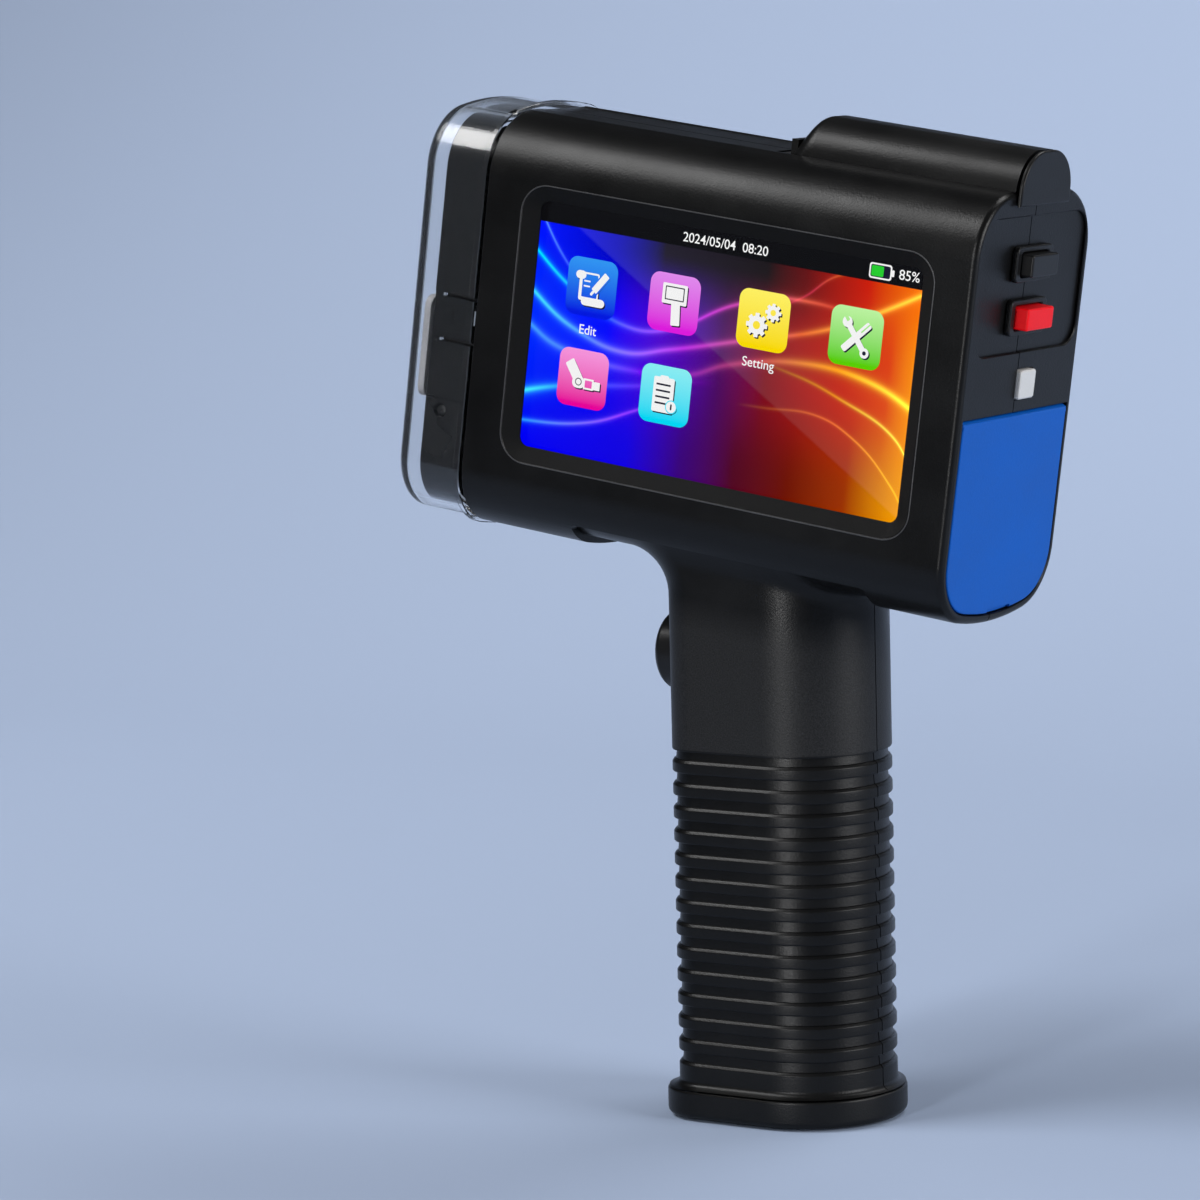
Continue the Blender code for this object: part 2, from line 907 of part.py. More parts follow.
def cartridge(head):
    """The ink cartridge: body, finger tab, label, nozzle plate and contact strip."""
    body = loft(
        "cartridge_body",
        [
            [
                (h, y, v)
                for h, v in rounded_rectangle(
                    (CART_FRONT + CART_REAR) / 2,
                    (CART_LOW + CART_HIGH) / 2,
                    CART_REAR - CART_FRONT - 2 * inset,
                    CART_HIGH - CART_LOW - 2 * inset,
                    8.0,
                    5,
                )
            ]
            for y, inset in (
                (CART_NEAR, 0.8),
                (CART_NEAR + 0.8, 0),
                (CART_FAR - 0.8, 0),
                (CART_FAR, 0.8),
            )
        ],
        "satin",
        head,
    )
    snout = prism_h(
        "cartridge_snout",
        rounded_rectangle(NOZZLE_Y, NOZZLE_V, 16, 17, 1.0),
        -72.9,
        -50,
        "satin",
        head,
        True,
    )
    join(body, snout)
    fill_hole = rod(
        "fill_hole", (-60, NOZZLE_Y, 22), (-54, NOZZLE_Y, 22), 4.0, "satin", head, 20,
        True,
    )
    cut(body, fill_hole)
    tab = box(
        "cartridge_tab", (CART_REAR + GAP, -5.5, 19), (22.6, 12, 36.5), "satin", head,
        round_by=0.8,
    )
    for i in range(6):
        groove = box(
            f"tab_groove_{i}",
            (CART_REAR + 2.6 + i * 1.2, -20, 35.9),
            (CART_REAR + 3.2 + i * 1.2, 20, 40),
            "satin",
            head,
            hidden=True,
        )
        cut(tab, groove)
    box(
        "cartridge_label",
        (-50, CART_FAR + GAP, -6),
        (6, CART_FAR + GAP + 0.4, 32),
        "label",
        head,
    )
    prism_h(
        "nozzle_plate",
        rounded_rectangle(NOZZLE_Y, NOZZLE_V, 13.5, 15, 0.8, 3),
        -73.7,
        -73.2,
        "gold",
        head,
    )


def cartridge_door(head):
    """The far-side door, a piece of the shell with a round hinge edge."""
    edge = BAY_REAR - GAP - BEAD_R
    door = box(
        "cartridge_door",
        (BAY_FRONT + GAP, 6, BAY_LOW + GAP),
        (edge, 40, BAY_HIGH - GAP),
        "housing",
        head,
    )
    shell = head_solid("door_shell", 0.0, -70, 70, "housing", head)
    hollow = head_solid("door_hollow", WALL, -75, 75, "housing", head)
    keep(door, shell)
    cut(door, hollow)
    axis_y = HEAD_HALF - BEAD_R
    bead = rod(
        "door_bead",
        (edge, axis_y, BAY_LOW + GAP),
        (edge, axis_y, BAY_HINGE_TOP),
        BEAD_R - 0.01,
        "housing",
        head,
        20,
        True,
    )
    hole = rod(
        "door_pin_hole",
        (edge, axis_y, BAY_LOW - 5),
        (edge, axis_y, BAY_HINGE_TOP + 1),
        PIN_R + 0.15,
        "housing",
        head,
        12,
        True,
    )
    scoop = turned(
        "door_scoop",
        ((5.0, -1.5), (8.5, -0.9), (9.5, 2.0)),
        (BAY_FRONT + 3, HEAD_HALF + 0.1, 5),
        (0, 1, 0),
        "housing",
        head,
        24,
        True,
    )
    join(door, bead)
    cut(door, hole, scoop)
    rod(
        "cartridge_door_pin",
        (edge, axis_y, BAY_LOW - 1.6),
        (edge, axis_y, BAY_HINGE_TOP),
        PIN_R,
        "steel",
        head,
        12,
    )


# ---------------------------------------------------------------- rear controls


def rear_button(name, at, slot, tip, head):
    """A rectangular push key with its bezel and its switch."""
    y, v = at
    bezel = prism_h(
        f"{name}_bezel",
        rounded_rectangle(y, v, 15.6, 7.6, 1.2, 3),
        PANEL_H + GAP,
        PANEL_H + GAP + 1.2,
        "satin",
        head,
    )
    sleeve = prism_h(
        f"{name}_sleeve",
        rounded_rectangle(y, v, 13.6, 6.0, 0.7, 3),
        57.2,
        PANEL_H + 1,
        "satin",
        head,
        True,
    )
    opening = prism_h(
        f"{name}_opening",
        rounded_rectangle(y, v, CAP_SIZE[0] + 0.6, CAP_SIZE[1] + 0.5, 0.6, 3),
        50,
        70,
        "satin",
        head,
        True,
    )
    join(bezel, sleeve)
    cut(bezel, opening)
    cap_rings = [
        along_h(rounded_rectangle(y, v, 12.9, 5.9, 0.5, 3), 55.6),
        along_h(rounded_rectangle(y, v, 12.9, 5.9, 0.5, 3), 56.6),
        along_h(rounded_rectangle(y, v, *CAP_SIZE, 0.5, 3), 56.61),
        along_h(rounded_rectangle(y, v, *CAP_SIZE, 0.5, 3), tip - 0.4),
        along_h(
            rounded_rectangle(y, v, CAP_SIZE[0] - 0.6, CAP_SIZE[1] - 0.6, 0.4, 3), tip
        ),
    ]
    loft(f"{name}_button", cap_rings, slot, head)
    switch(name, y, v, head)


def switch(name, y, v, head):
    """A board-mounted push switch with its plunger."""
    body = box(
        f"{name}_switch", (50.3, y - 3, v - 2.8), (53.2, y + 3, v + 2.8), "satin", head
    )
    plunger = rod(
        f"{name}_plunger", (52, y, v), (53.9, y, v), 1.5, "satin", head, 12, True
    )
    join(body, plunger)


def rear_controls(head):
    """Both labelled keys, the small grey key and the board behind them."""
    rear_button("function", FUNCTION_AT, "satin", 63.8, head)
    rear_button("power", POWER_AT, "red", 64.2, head)
    y, v = SELECT_AT
    loft(
        "select_button",
        [
            along_h(rounded_rectangle(y, v, 8.2, 7.6, 0.5, 3), 55.6),
            along_h(rounded_rectangle(y, v, 8.2, 7.6, 0.5, 3), 56.5),
            along_h(rounded_rectangle(y, v, 6.8, 6.2, 0.5, 3), 56.51),
            along_h(rounded_rectangle(y, v, 6.8, 6.2, 0.5, 3), 61.2),
            along_h(rounded_rectangle(y, v, 6.2, 5.6, 0.4, 3), 61.5),
        ],
        "grey",
        head,
    )
    switch("select", y, v, head)
    box("button_board", (48.4, -11, -3), (50.0, 11, 32), "board", head)


def port_door(head):
    """The blue door over the sockets: plate, round hinge edge, lug and pull notch."""
    axis_h, axis_v = PORT_AXIS
    door = prism_h(
        "port_door",
        port_outline(PORT_INSET),
        PORT_OUT - PORT_THICK,
        PORT_OUT,
        "blue",
        head,
    )
    half = HEAD_HALF - PORT_INSET
    bead = rod(
        "port_bead",
        (axis_h, -half + 0.1, axis_v),
        (axis_h, half - 0.1, axis_v),
        BEAD_R - 0.01,
        "blue",
        head,
        20,
        True,
    )
    hole = rod(
        "port_bead_hole",
        (axis_h, -30, axis_v),
        (axis_h, 30, axis_v),
        PIN_R + 0.15,
        "blue",
        head,
        12,
        True,
    )
    notch = box(
        "pull_notch",
        (PORT_OUT - 0.9, -3, -50),
        (PORT_OUT + 5, 7, HEAD_BOTTOM + PORT_INSET + 1.0),
        "blue",
        head,
        hidden=True,
    )
    lug = box(
        "port_lug", (56.8, -3, -43.6), (PORT_OUT - 1, 3, -42.2), "blue", head,
        hidden=True,
    )
    join(door, bead, lug)
    cut(door, hole, notch)
    rod(
        "port_door_pin",
        (axis_h, -23.9, axis_v),
        (axis_h, 23.9, axis_v),
        PIN_R,
        "steel",
        head,
        12,
    )


def port_bay(head):
    """Panel, board and sockets behind the rear door."""
    outline = [
        (y, min(v, -7.5)) for y, v in port_outline(WALL + 0.5)
    ]
    panel = prism_h("port_panel", outline, 50.6, 52.0, "satin", head)
    usb_way = box(
        "usb_way", (40, -11.3, -28.4), (60, 2.3, -22.0), "satin", head, hidden=True
    )
    charge_way = box(
        "charge_way", (40, 6.6, -28.4), (60, 16.4, -19.7), "satin", head, hidden=True
    )
    cut(panel, usb_way, charge_way)
    box("port_board", (34, -13.5, -30.2), (50.2, 19, -28.6), "board", head)
    usb = box("usb_socket", (38.5, -11, -28.1), (53.0, 2, -22.3), "steel", head)
    usb_hollow = box(
        "usb_hollow", (40, -10.5, -27.6), (60, 1.5, -22.8), "steel", head, hidden=True
    )
    cut(usb, usb_hollow)
    charge = box("charge_socket", (42, 7, -28.1), (53.0, 16, -20.1), "satin", head)
    bore = rod(
        "charge_bore", (44, 11.5, -24.1), (60, 11.5, -24.1), 3.0, "satin", head, 20,
        True,
    )
    cut(charge, bore)


# ---------------------------------------------------------------- top cover


def hump_slot():
    """The slot in the head's top that takes the cover's hinge edge."""
    h, v = HUMP_AXIS
    return [
        (h + 4.2, v + 5),
        (h + 4.2, v - 1.4),
        *arc(h, v, 1.4, -math.pi / 2, -math.pi, 5),
        (h - 1.4, v + 5),
    ]


def hump_outline(inset, top, bottom=40.0):
    """(y, v) points of the arched cover's section."""
    half = HUMP_HALF - inset
    corner = HUMP_CORNER - inset
    right = [(half, bottom)]
    right += arc(half - corner, top - corner, corner, 0, math.pi / 2, 7)
    left = [(-y, v) for y, v in reversed(right)]
    return [(y + HUMP_Y, v) for y, v in [*right, *left]]


def hump_solid(name, inset, head, end):
    """The arch with its sloping front, before it is fitted to the head's top."""
    rings = [
        along_h(hump_outline(inset, top - inset, 30.0), h + inset * 1.3)
        for h, top in HUMP_RAMP
    ]
    rings.append(along_h(hump_outline(inset, HUMP_TOP - inset, 30.0), end))
    return loft(name, rings, "housing", head, hidden=True)


def top_cover(head):
    """The arched cover, its hinge edge and pin, and its end plate."""
    axis_h, axis_v = HUMP_AXIS
    cover = box("top_cover", (-1, -20, 38), (HUMP_END, 20, 60), "housing", head)
    keep(cover, hump_solid("hump_outer", 0.0, head, 70))
    cut(
        cover,
        hump_solid("hump_inner", 1.8, head, 72),
        head_solid("hump_seat", -GAP, -70, 70, "housing", head),
    )
    inner = HUMP_HALF - 2.0 - GAP
    web = prism_y(
        "hump_web",
        [
            (axis_h, axis_v - 0.6),
            (axis_h + 3.6, axis_v - 0.6),
            (axis_h + 3.6, 47.2),
            (axis_h + 2.2, 45.8),
            (axis_h + 1.7, axis_v + 1.0),
            (axis_h, axis_v + 1.0),
        ],
        HUMP_Y - inner,
        HUMP_Y + inner,
        "housing",
        head,
        True,
    )
    bead = rod(
        "hump_bead",
        (axis_h, HUMP_Y - inner - 0.01, axis_v),
        (axis_h, HUMP_Y + inner + 0.01, axis_v),
        HUMP_BEAD,
        "housing",
        head,
        20,
        True,
    )
    hole = rod(
        "hump_bead_hole",
        (axis_h, HUMP_Y - 20, axis_v),
        (axis_h, HUMP_Y + 20, axis_v),
        PIN_R + 0.1,
        "housing",
        head,
        12,
        True,
    )
    join(cover, web, bead)
    cut(cover, hole)
    loft(
        "top_cover_end",
        [
            along_h(hump_outline(0.0, HUMP_TOP, 41.2), REAR_H + GAP),
            along_h(hump_outline(0.0, HUMP_TOP, 41.2), REAR_H + 1.0),
            along_h(hump_outline(0.3, HUMP_TOP - 0.3, 41.5), REAR_H + 1.3),
        ],
        "housing",
        head,
    )
    rod(
        "top_cover_pin",
        (axis_h, HUMP_Y - 11.0, axis_v),
        (axis_h, HUMP_Y + 11.0, axis_v),
        PIN_R,
        "steel",
        head,
        12,
    )


# ---------------------------------------------------------------- grip contents


def trigger(grip):
    """The round trigger with its collar, return spring and switch."""
    place = (0, 0, TRIGGER_Z)
    dome = [
        (TRIGGER_R * math.sin(a), TRIGGER_TIP + 3.4 * (1 - math.cos(a)))
        for a in (math.radians(d) for d in (12, 28, 45, 62, 78, 90))
    ]
    profile = [
        *dome,
        (TRIGGER_R, -16.0),
        (9.9, -15.99),
        (9.9, -14.8),
        (6.4, -14.79),
        (6.4, -13.6),
    ]
    turned("trigger_button", profile, place, (1, 0, 0), "satin", grip, 36)
    collar = turned(
        "trigger_collar",
        ((11.0, -20.7), (11.4, -20.4), (11.4, -19.8), (9.9, -19.79), (9.9, -16.6)),
        place,
        (1, 0, 0),
        "satin",
        grip,
        36,
    )
    bore = rod(
        "collar_bore",
        (-40, 0, TRIGGER_Z),
        (0, 0, TRIGGER_Z),
        TRIGGER_R + 0.3,
        "satin",
        grip,
        36,
        True,
    )
    cut(collar, bore)
    switch_body = box(
        "trigger_switch", (-5.5, -5, 94.5), (0.5, 5, 106.5), "satin", grip
    )
    plunger = rod(
        "trigger_plunger", (-10.2, 0, TRIGGER_Z), (-5, 0, TRIGGER_Z), 1.8, "satin",
        grip, 12, True,
    )
    join(switch_body, plunger)
    spring("trigger_spring", (-13.2, 0, TRIGGER_Z), 7.2, 4.4, 3.5, 0.35, grip)


def spring(name, start, length, radius, turns, wire, parent):
    """A compression spring along +x, a wire wound in a loop of points."""
    curve = bpy.data.curves.new(name, "CURVE")
    curve.dimensions = "3D"
    curve.bevel_depth = wire * MM
    curve.bevel_resolution = 1
    curve.use_fill_caps = True
    per_turn = 10
    count = int(turns * per_turn) + 1
    line = curve.splines.new("POLY")
    line.points.add(count - 1)
    for i, point in enumerate(line.points):
        angle = 2 * math.pi * i / per_turn
        place = (
            start[0] + length * i / (count - 1),
            start[1] + radius * math.cos(angle),
            start[2] + radius * math.sin(angle),
        )
        point.co = (*(Vector(place) * MM), 1)
    curve.materials.append(material("steel"))
    coil = bpy.data.objects.new(name, curve)
    coil.parent = parent
    parts.objects.link(coil)


def battery(grip):
    """Two cells in their frame inside the grip."""
    low, high = 18.0, 83.0
    for i, x in enumerate((GRIP_MIDDLE - 9.2, GRIP_MIDDLE + 9.2)):
        turned(
            f"battery_cell_{i + 1}",
            ((8.6, low), (9.0, low + 0.4), (9.0, high - 1.4), (8.4, high - 0.9),
             (3.0, high - 0.89), (3.0, high)),
            (x, 0, 0),
            (0, 0, 1),
            "cell",
            grip,
            24,
        )
    holder = box(
        "battery_holder",
        (GRIP_MIDDLE - 17.5, -11.2, low - 2.4),
        (GRIP_MIDDLE + 13.0, 11.2, high + 2.4),
        "satin",
        grip,
    )
    hollow = box(
        "holder_hollow",
        (-40, -9.5, low - 0.4),
        (40, 9.5, high + 0.4),
        "satin",
        grip,
        hidden=True,
    )
    cut(holder, hollow)


def foot(grip):
    """The cap that closes the grip and the rubber pad that it stands on."""
    grown = (FOOT_FRONT, FOOT_SIDE, FOOT_REAR)
    cap = loft(
        "base_cap",
        [
            grip_ring(0.4, *[g - 1.4 for g in grown]),
            grip_ring(0.9, *[g - 0.4 for g in grown]),
            grip_ring(1.9, *grown),
            grip_ring(FOOT_TOP - 0.3, *grown),
            grip_ring(FOOT_TOP, *[g - 0.3 for g in grown]),
            grip_ring(FOOT_TOP + 0.01, *[-GRIP_WALL - 0.4] * 3),
            grip_ring(11.0, *[-GRIP_WALL - 0.4] * 3),
        ],
        "housing",
        grip,
    )
    pad_well = loft(
        "pad_well",
        [grip_ring(height, -1.0, -1.0, -1.0) for height in (-2, 1.8)],
        "housing",
        grip,
        hidden=True,
    )
    cap_hollow = loft(
        "cap_hollow",
        [grip_ring(height, *[-GRIP_WALL - 2.2] * 3) for height in (4.0, 14)],
        "housing",
        grip,
        hidden=True,
    )
    cut(cap, pad_well, cap_hollow)
    loft(
        "base_pad",
        [grip_ring(height, -1.4, -1.4, -1.4) for height in (0, 1.5)],
        "rubber",
        grip,
    )


def main():
    clear_scene()
    head = frame("head_frame", (HEAD_X, 0, HEAD_Z), TILT)
    grip = frame("grip_frame", (HEAD_X, 0, 0))
    bpy.context.view_layer.update()
    housings(head, grip)
    nose(head)
    nozzle_guard(head)
    screen_stack(head)
    cradle(head)
    cartridge(head)
    cartridge_door(head)
    rear_controls(head)
    port_door(head)
    port_bay(head)
    top_cover(head)
    trigger(grip)
    battery(grip)
    foot(grip)


main()
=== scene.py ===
"""Looks of a handheld date code inkjet printer: shells, glass, keys, screen and finishes.

Every piece is drawn in millimetres in the head's or the grip's own frame and is then placed
in the model. In the head's frame h runs to the rear, y away from the screen and v up; in the
grip's frame x runs to the rear and z up from the foot.
"""

import json
import logging
import math
from collections.abc import Callable, Sequence
from dataclasses import dataclass, replace
from enum import Enum

import bmesh
import bpy
from mathutils import Matrix, Vector

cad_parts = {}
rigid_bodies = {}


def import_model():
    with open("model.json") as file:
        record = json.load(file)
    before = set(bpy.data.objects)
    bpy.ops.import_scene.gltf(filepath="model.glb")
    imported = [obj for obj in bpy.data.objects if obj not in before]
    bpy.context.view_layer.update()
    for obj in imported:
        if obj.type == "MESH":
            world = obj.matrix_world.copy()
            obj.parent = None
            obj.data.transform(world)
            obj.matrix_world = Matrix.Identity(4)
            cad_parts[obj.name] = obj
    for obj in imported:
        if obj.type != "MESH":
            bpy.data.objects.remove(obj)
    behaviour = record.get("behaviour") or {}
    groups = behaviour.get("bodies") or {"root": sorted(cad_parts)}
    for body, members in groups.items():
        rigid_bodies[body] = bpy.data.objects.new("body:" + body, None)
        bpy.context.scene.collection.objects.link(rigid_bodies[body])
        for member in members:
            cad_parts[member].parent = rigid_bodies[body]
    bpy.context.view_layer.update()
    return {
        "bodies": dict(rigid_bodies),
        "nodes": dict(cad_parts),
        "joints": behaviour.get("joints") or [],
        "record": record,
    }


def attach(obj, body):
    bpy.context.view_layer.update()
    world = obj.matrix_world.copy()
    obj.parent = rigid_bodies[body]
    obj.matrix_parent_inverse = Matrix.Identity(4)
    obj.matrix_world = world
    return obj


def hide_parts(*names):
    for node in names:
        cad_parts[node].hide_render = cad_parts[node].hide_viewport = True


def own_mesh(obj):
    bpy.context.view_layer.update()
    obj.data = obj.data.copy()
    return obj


log = logging.getLogger("printer")

MM = 0.001
TILT = math.radians(8.35)
HEAD_ORIGIN = Vector((7.55, 0.0, 166.8))
HEAD = Matrix.Scale(MM, 4) @ Matrix.Translation(HEAD_ORIGIN) @ Matrix.Rotation(TILT, 4, "Y")
GRIP = Matrix.Scale(MM, 4) @ Matrix.Translation((HEAD_ORIGIN.x, 0, 0))
PIN_HOLE = 0.65
REAR_FACE = 60.5

Colour = tuple[float, float, float]
Pair = tuple[float, float]


class Plane(Enum):
    """Drawing planes: an outline's x and y, and the way that its height runs."""

    LEVEL = Matrix.Identity(4)
    ACROSS = Matrix(((0, 0, 1, 0), (1, 0, 0, 0), (0, 1, 0, 0), (0, 0, 0, 1)))
    SIDE = Matrix(((1, 0, 0, 0), (0, 0, -1, 0), (0, 1, 0, 0), (0, 0, 0, 1)))


def quarter(steps: int, first: int = 0) -> list[Pair]:
    """Shares of a quarter circle's rise and run, from (0, 0) to (1, 1).

    Args:
        steps: Number of parts in the quarter.
        first: The first part that is wanted.

    Returns:
        One minus the cosine, and the sine, at each part.
    """
    angles = [math.pi / 2 * i / steps for i in range(first, steps + 1)]
    return [(1 - math.cos(angle), math.sin(angle)) for angle in angles]


# ------------------------------------------------------------------ outlines


class Pen:
    """Draws a chain of edges with bmesh operators."""

    def __init__(self, bm: bmesh.types.BMesh, x: float, y: float) -> None:
        """Puts the pen down.

        Args:
            bm: The bmesh to draw in.
            x: First point's x.
            y: First point's y.
        """
        self.bm = bm
        self.start = bmesh.ops.create_vert(bm, co=(x, y, 0))["vert"][0]
        self.tip = self.start

    def line(self, x: float, y: float, steps: int = 1) -> "Pen":
        """Draws a straight line to a point.

        Args:
            x: Target x.
            y: Target y.
            steps: Number of edges in it.

        Returns:
            The pen itself.
        """
        begin, end = self.tip.co.copy(), Vector((x, y, 0))
        for i in range(steps):
            self.tip = bmesh.ops.extrude_vert_indiv(self.bm, verts=[self.tip])["verts"][0]
            self.tip.co = begin.lerp(end, (i + 1) / steps)
        return self

    def arc(self, cx: float, cy: float, degrees: float, steps: int) -> "Pen":
        """Draws an arc about a centre.

        Args:
            cx: Centre x.
            cy: Centre y.
            degrees: Angle to turn, anticlockwise.
            steps: Number of edges in it.

        Returns:
            The pen itself.
        """
        made = bmesh.ops.spin(
            self.bm,
            geom=[self.tip],
            cent=(cx, cy, 0),
            axis=(0, 0, 1),
            angle=math.radians(degrees),
            steps=steps,
            use_duplicate=False,
        )
        self.tip = next(v for v in made["geom_last"] if isinstance(v, bmesh.types.BMVert))
        return self

    def close(self) -> None:
        """Joins the last point to the first where they meet."""
        bmesh.ops.weld_verts(self.bm, targetmap={self.tip: self.start})


class Outline:
    """A closed outline that can be drawn at any height."""

    def trace(self, bm: bmesh.types.BMesh) -> None:
        """Draws the outline's edges at height zero."""
        raise NotImplementedError

    def grown(self, by: float) -> "Outline":
        """The same outline, larger all round."""
        raise NotImplementedError

    def draw(self, bm: bmesh.types.BMesh, z: float) -> list[bmesh.types.BMEdge]:
        """Draws the outline in a small bmesh of its own, and adds it to a larger one.

        Args:
            bm: The bmesh to add to.
            z: Height.

        Returns:
            The new edges.
        """
        sketch = bmesh.new()
        self.trace(sketch)
        bmesh.ops.translate(sketch, vec=(0, 0, z), verts=sketch.verts)
        mesh = bpy.data.meshes.new("sketch")
        sketch.to_mesh(mesh)
        sketch.free()
        before = len(bm.edges)
        bm.from_mesh(mesh)
        bpy.data.meshes.remove(mesh)
        bm.edges.ensure_lookup_table()
        return bm.edges[before:]


@dataclass(frozen=True)
class Rounded(Outline):
    """A rectangle with round corners, which may be turned."""

    cx: float
    cy: float
    width: float
    height: float
    radius: float
    steps: int = 6
    turn: float = 0.0

    def trace(self, bm: bmesh.types.BMesh) -> None:
        """Draws a grid of one face, rounds its corners and drops the face.

        Args:
            bm: The sketch to draw in.
        """
        place = (
            Matrix.Translation((self.cx, self.cy, 0))
            @ Matrix.Rotation(math.radians(self.turn), 4, "Z")
            @ Matrix.Diagonal((self.width, self.height, 1, 1))
        )
        made = bmesh.ops.create_grid(bm, x_segments=1, y_segments=1, size=0.5, matrix=place)
        bmesh.ops.bevel(
            bm,
            geom=made["verts"],
            offset=min(self.radius, self.width / 2 - 0.001, self.height / 2 - 0.001),
            segments=self.steps,
            profile=0.5,
            affect="VERTICES",
            material=-1,
        )
        bmesh.ops.delete(bm, geom=bm.faces[:], context="FACES_ONLY")

    def grown(self, by: float) -> "Rounded":
        """The same rectangle, larger all round."""
        wide, tall, radius = self.width + 2 * by, self.height + 2 * by, max(self.radius + by, 0.05)
        return replace(self, width=wide, height=tall, radius=radius)


@dataclass(frozen=True)
class HeadSection(Outline):
    """The head's section: flat sides, round corners and a slightly crowned top and base."""

    inset: float = 0.0
    half: float = 25.0
    corner: float = 13.5
    crown: float = 80.0
    top: float = 44.9
    base: float = -48.2
    corner_steps: int = 16
    crown_steps: int = 12

    def parts(self) -> tuple[float, float, float, float, float]:
        """Works out where the section's arcs lie.

        Returns:
            Half width, corner centre, crown centre, lean of the corner and middle height.
        """
        side = self.half - self.corner
        reach = self.crown - self.corner
        lean = math.asin(side / reach)
        rise = (self.top - self.base) / 2 - self.inset
        sunk = rise - (self.crown - self.inset)
        centre = sunk + reach * math.cos(lean)
        return side, centre, sunk, math.degrees(lean), (self.top + self.base) / 2

    def trace(self, bm: bmesh.types.BMesh) -> None:
        """Draws both sides, four corners and two crowns.

        Args:
            bm: The sketch to draw in.
        """
        side, centre, sunk, lean, middle = self.parts()
        half = self.half - self.inset
        pen = Pen(bm, half, middle - centre)
        for way in (1, -1):
            high, low = middle + way * centre, middle + way * sunk
            pen.line(way * half, high)
            pen.arc(way * side, high, 90 - lean, self.corner_steps)
            pen.arc(0, low, 2 * lean, self.crown_steps)
            pen.arc(-way * side, high, 90 - lean, self.corner_steps)
        pen.close()

    def grown(self, by: float) -> "HeadSection":
        """The same section, larger all round."""
        return replace(self, inset=self.inset - by)

    def underside(self, y: float) -> float:
        """Height of the lower surface at a distance from the middle.

        Args:
            y: Distance from the middle plane.

        Returns:
            The height v.
        """
        side, centre, sunk, lean, middle = self.parts()
        crown, corner = self.crown - self.inset, self.corner - self.inset
        if abs(y) <= crown * math.sin(math.radians(lean)):
            return middle - (sunk + math.sqrt(crown**2 - y**2))
        return middle - centre - math.sqrt(max(0.0, corner**2 - (abs(y) - side) ** 2))


@dataclass(frozen=True)
class DoorSection(Outline):
    """The lower part of the head's section, cut off straight at the top."""

    inset: float
    top: float
    steps: int = 14

    def trace(self, bm: bmesh.types.BMesh) -> None:
        """Draws the sides, the lower corners, the base and the straight top.

        Args:
            bm: The sketch to draw in.
        """
        section = HeadSection(self.inset)
        side, centre, sunk, lean, middle = section.parts()
        half = section.half - self.inset
        pen = Pen(bm, -half, self.top).line(-half, middle - centre)
        pen.arc(-side, middle - centre, 90 - lean, self.steps)
        pen.arc(0, middle - sunk, 2 * lean, section.crown_steps)
        pen.arc(side, middle - centre, 90 - lean, self.steps)
        pen.line(half, self.top).line(-half, self.top).close()

    def grown(self, by: float) -> "DoorSection":
        """The same outline, larger all round."""
        return replace(self, inset=self.inset - by, top=self.top + by)


@dataclass(frozen=True)
class GripSection(Outline):
    """The grip's section: flat sides, tight front corners and a round back."""

    front: float = 0.0
    side: float = 0.0
    rear: float = 0.0
    start: float = -19.5
    length: float = 44.8
    width: float = 37.5
    corner: float = 8.0

    def trace(self, bm: bmesh.types.BMesh) -> None:
        """Draws the section anticlockwise from the front corner.

        Args:
            bm: The sketch to draw in.
        """
        half = self.width / 2 + self.side
        corner = max(self.corner + min(self.side, self.front), 2.0)
        x0, x1 = self.start - self.front, self.start + self.length + self.rear
        pen = Pen(bm, x0, -half + corner).arc(x0 + corner, -half + corner, 90, 10)
        pen.line(x1 - half, -half, 3).arc(x1 - half, 0, 180, 40).line(x0 + corner, half, 3)
        pen.arc(x0 + corner, half - corner, 90, 10).line(x0, -half + corner, 6).close()

    def grown(self, by: float) -> "GripSection":
        """The same section, larger all round."""
        return replace(self, front=self.front + by, side=self.side + by, rear=self.rear + by)


@dataclass(frozen=True)
class Arch(Outline):
    """The top cover's section: straight sides under a round top."""

    inset: float
    top: float
    base: float
    middle: float = -0.1
    half: float = 10.8
    corner: float = 8.8
    steps: int = 14

    def trace(self, bm: bmesh.types.BMesh) -> None:
        """Draws the arch anticlockwise from its lower right corner.

        Args:
            bm: The sketch to draw in.
        """
        half, corner = self.half - self.inset, self.corner - self.inset
        high = self.top - self.inset - corner
        x = self.middle
        pen = Pen(bm, x + half, self.base).line(x + half, high)
        pen.arc(x + half - corner, high, 90, self.steps).line(x - half + corner, high + corner)
        pen.arc(x - half + corner, high, 90, self.steps).line(x - half, self.base)
        pen.line(x + half, self.base, 4).close()


# ------------------------------------------------------------------ forms


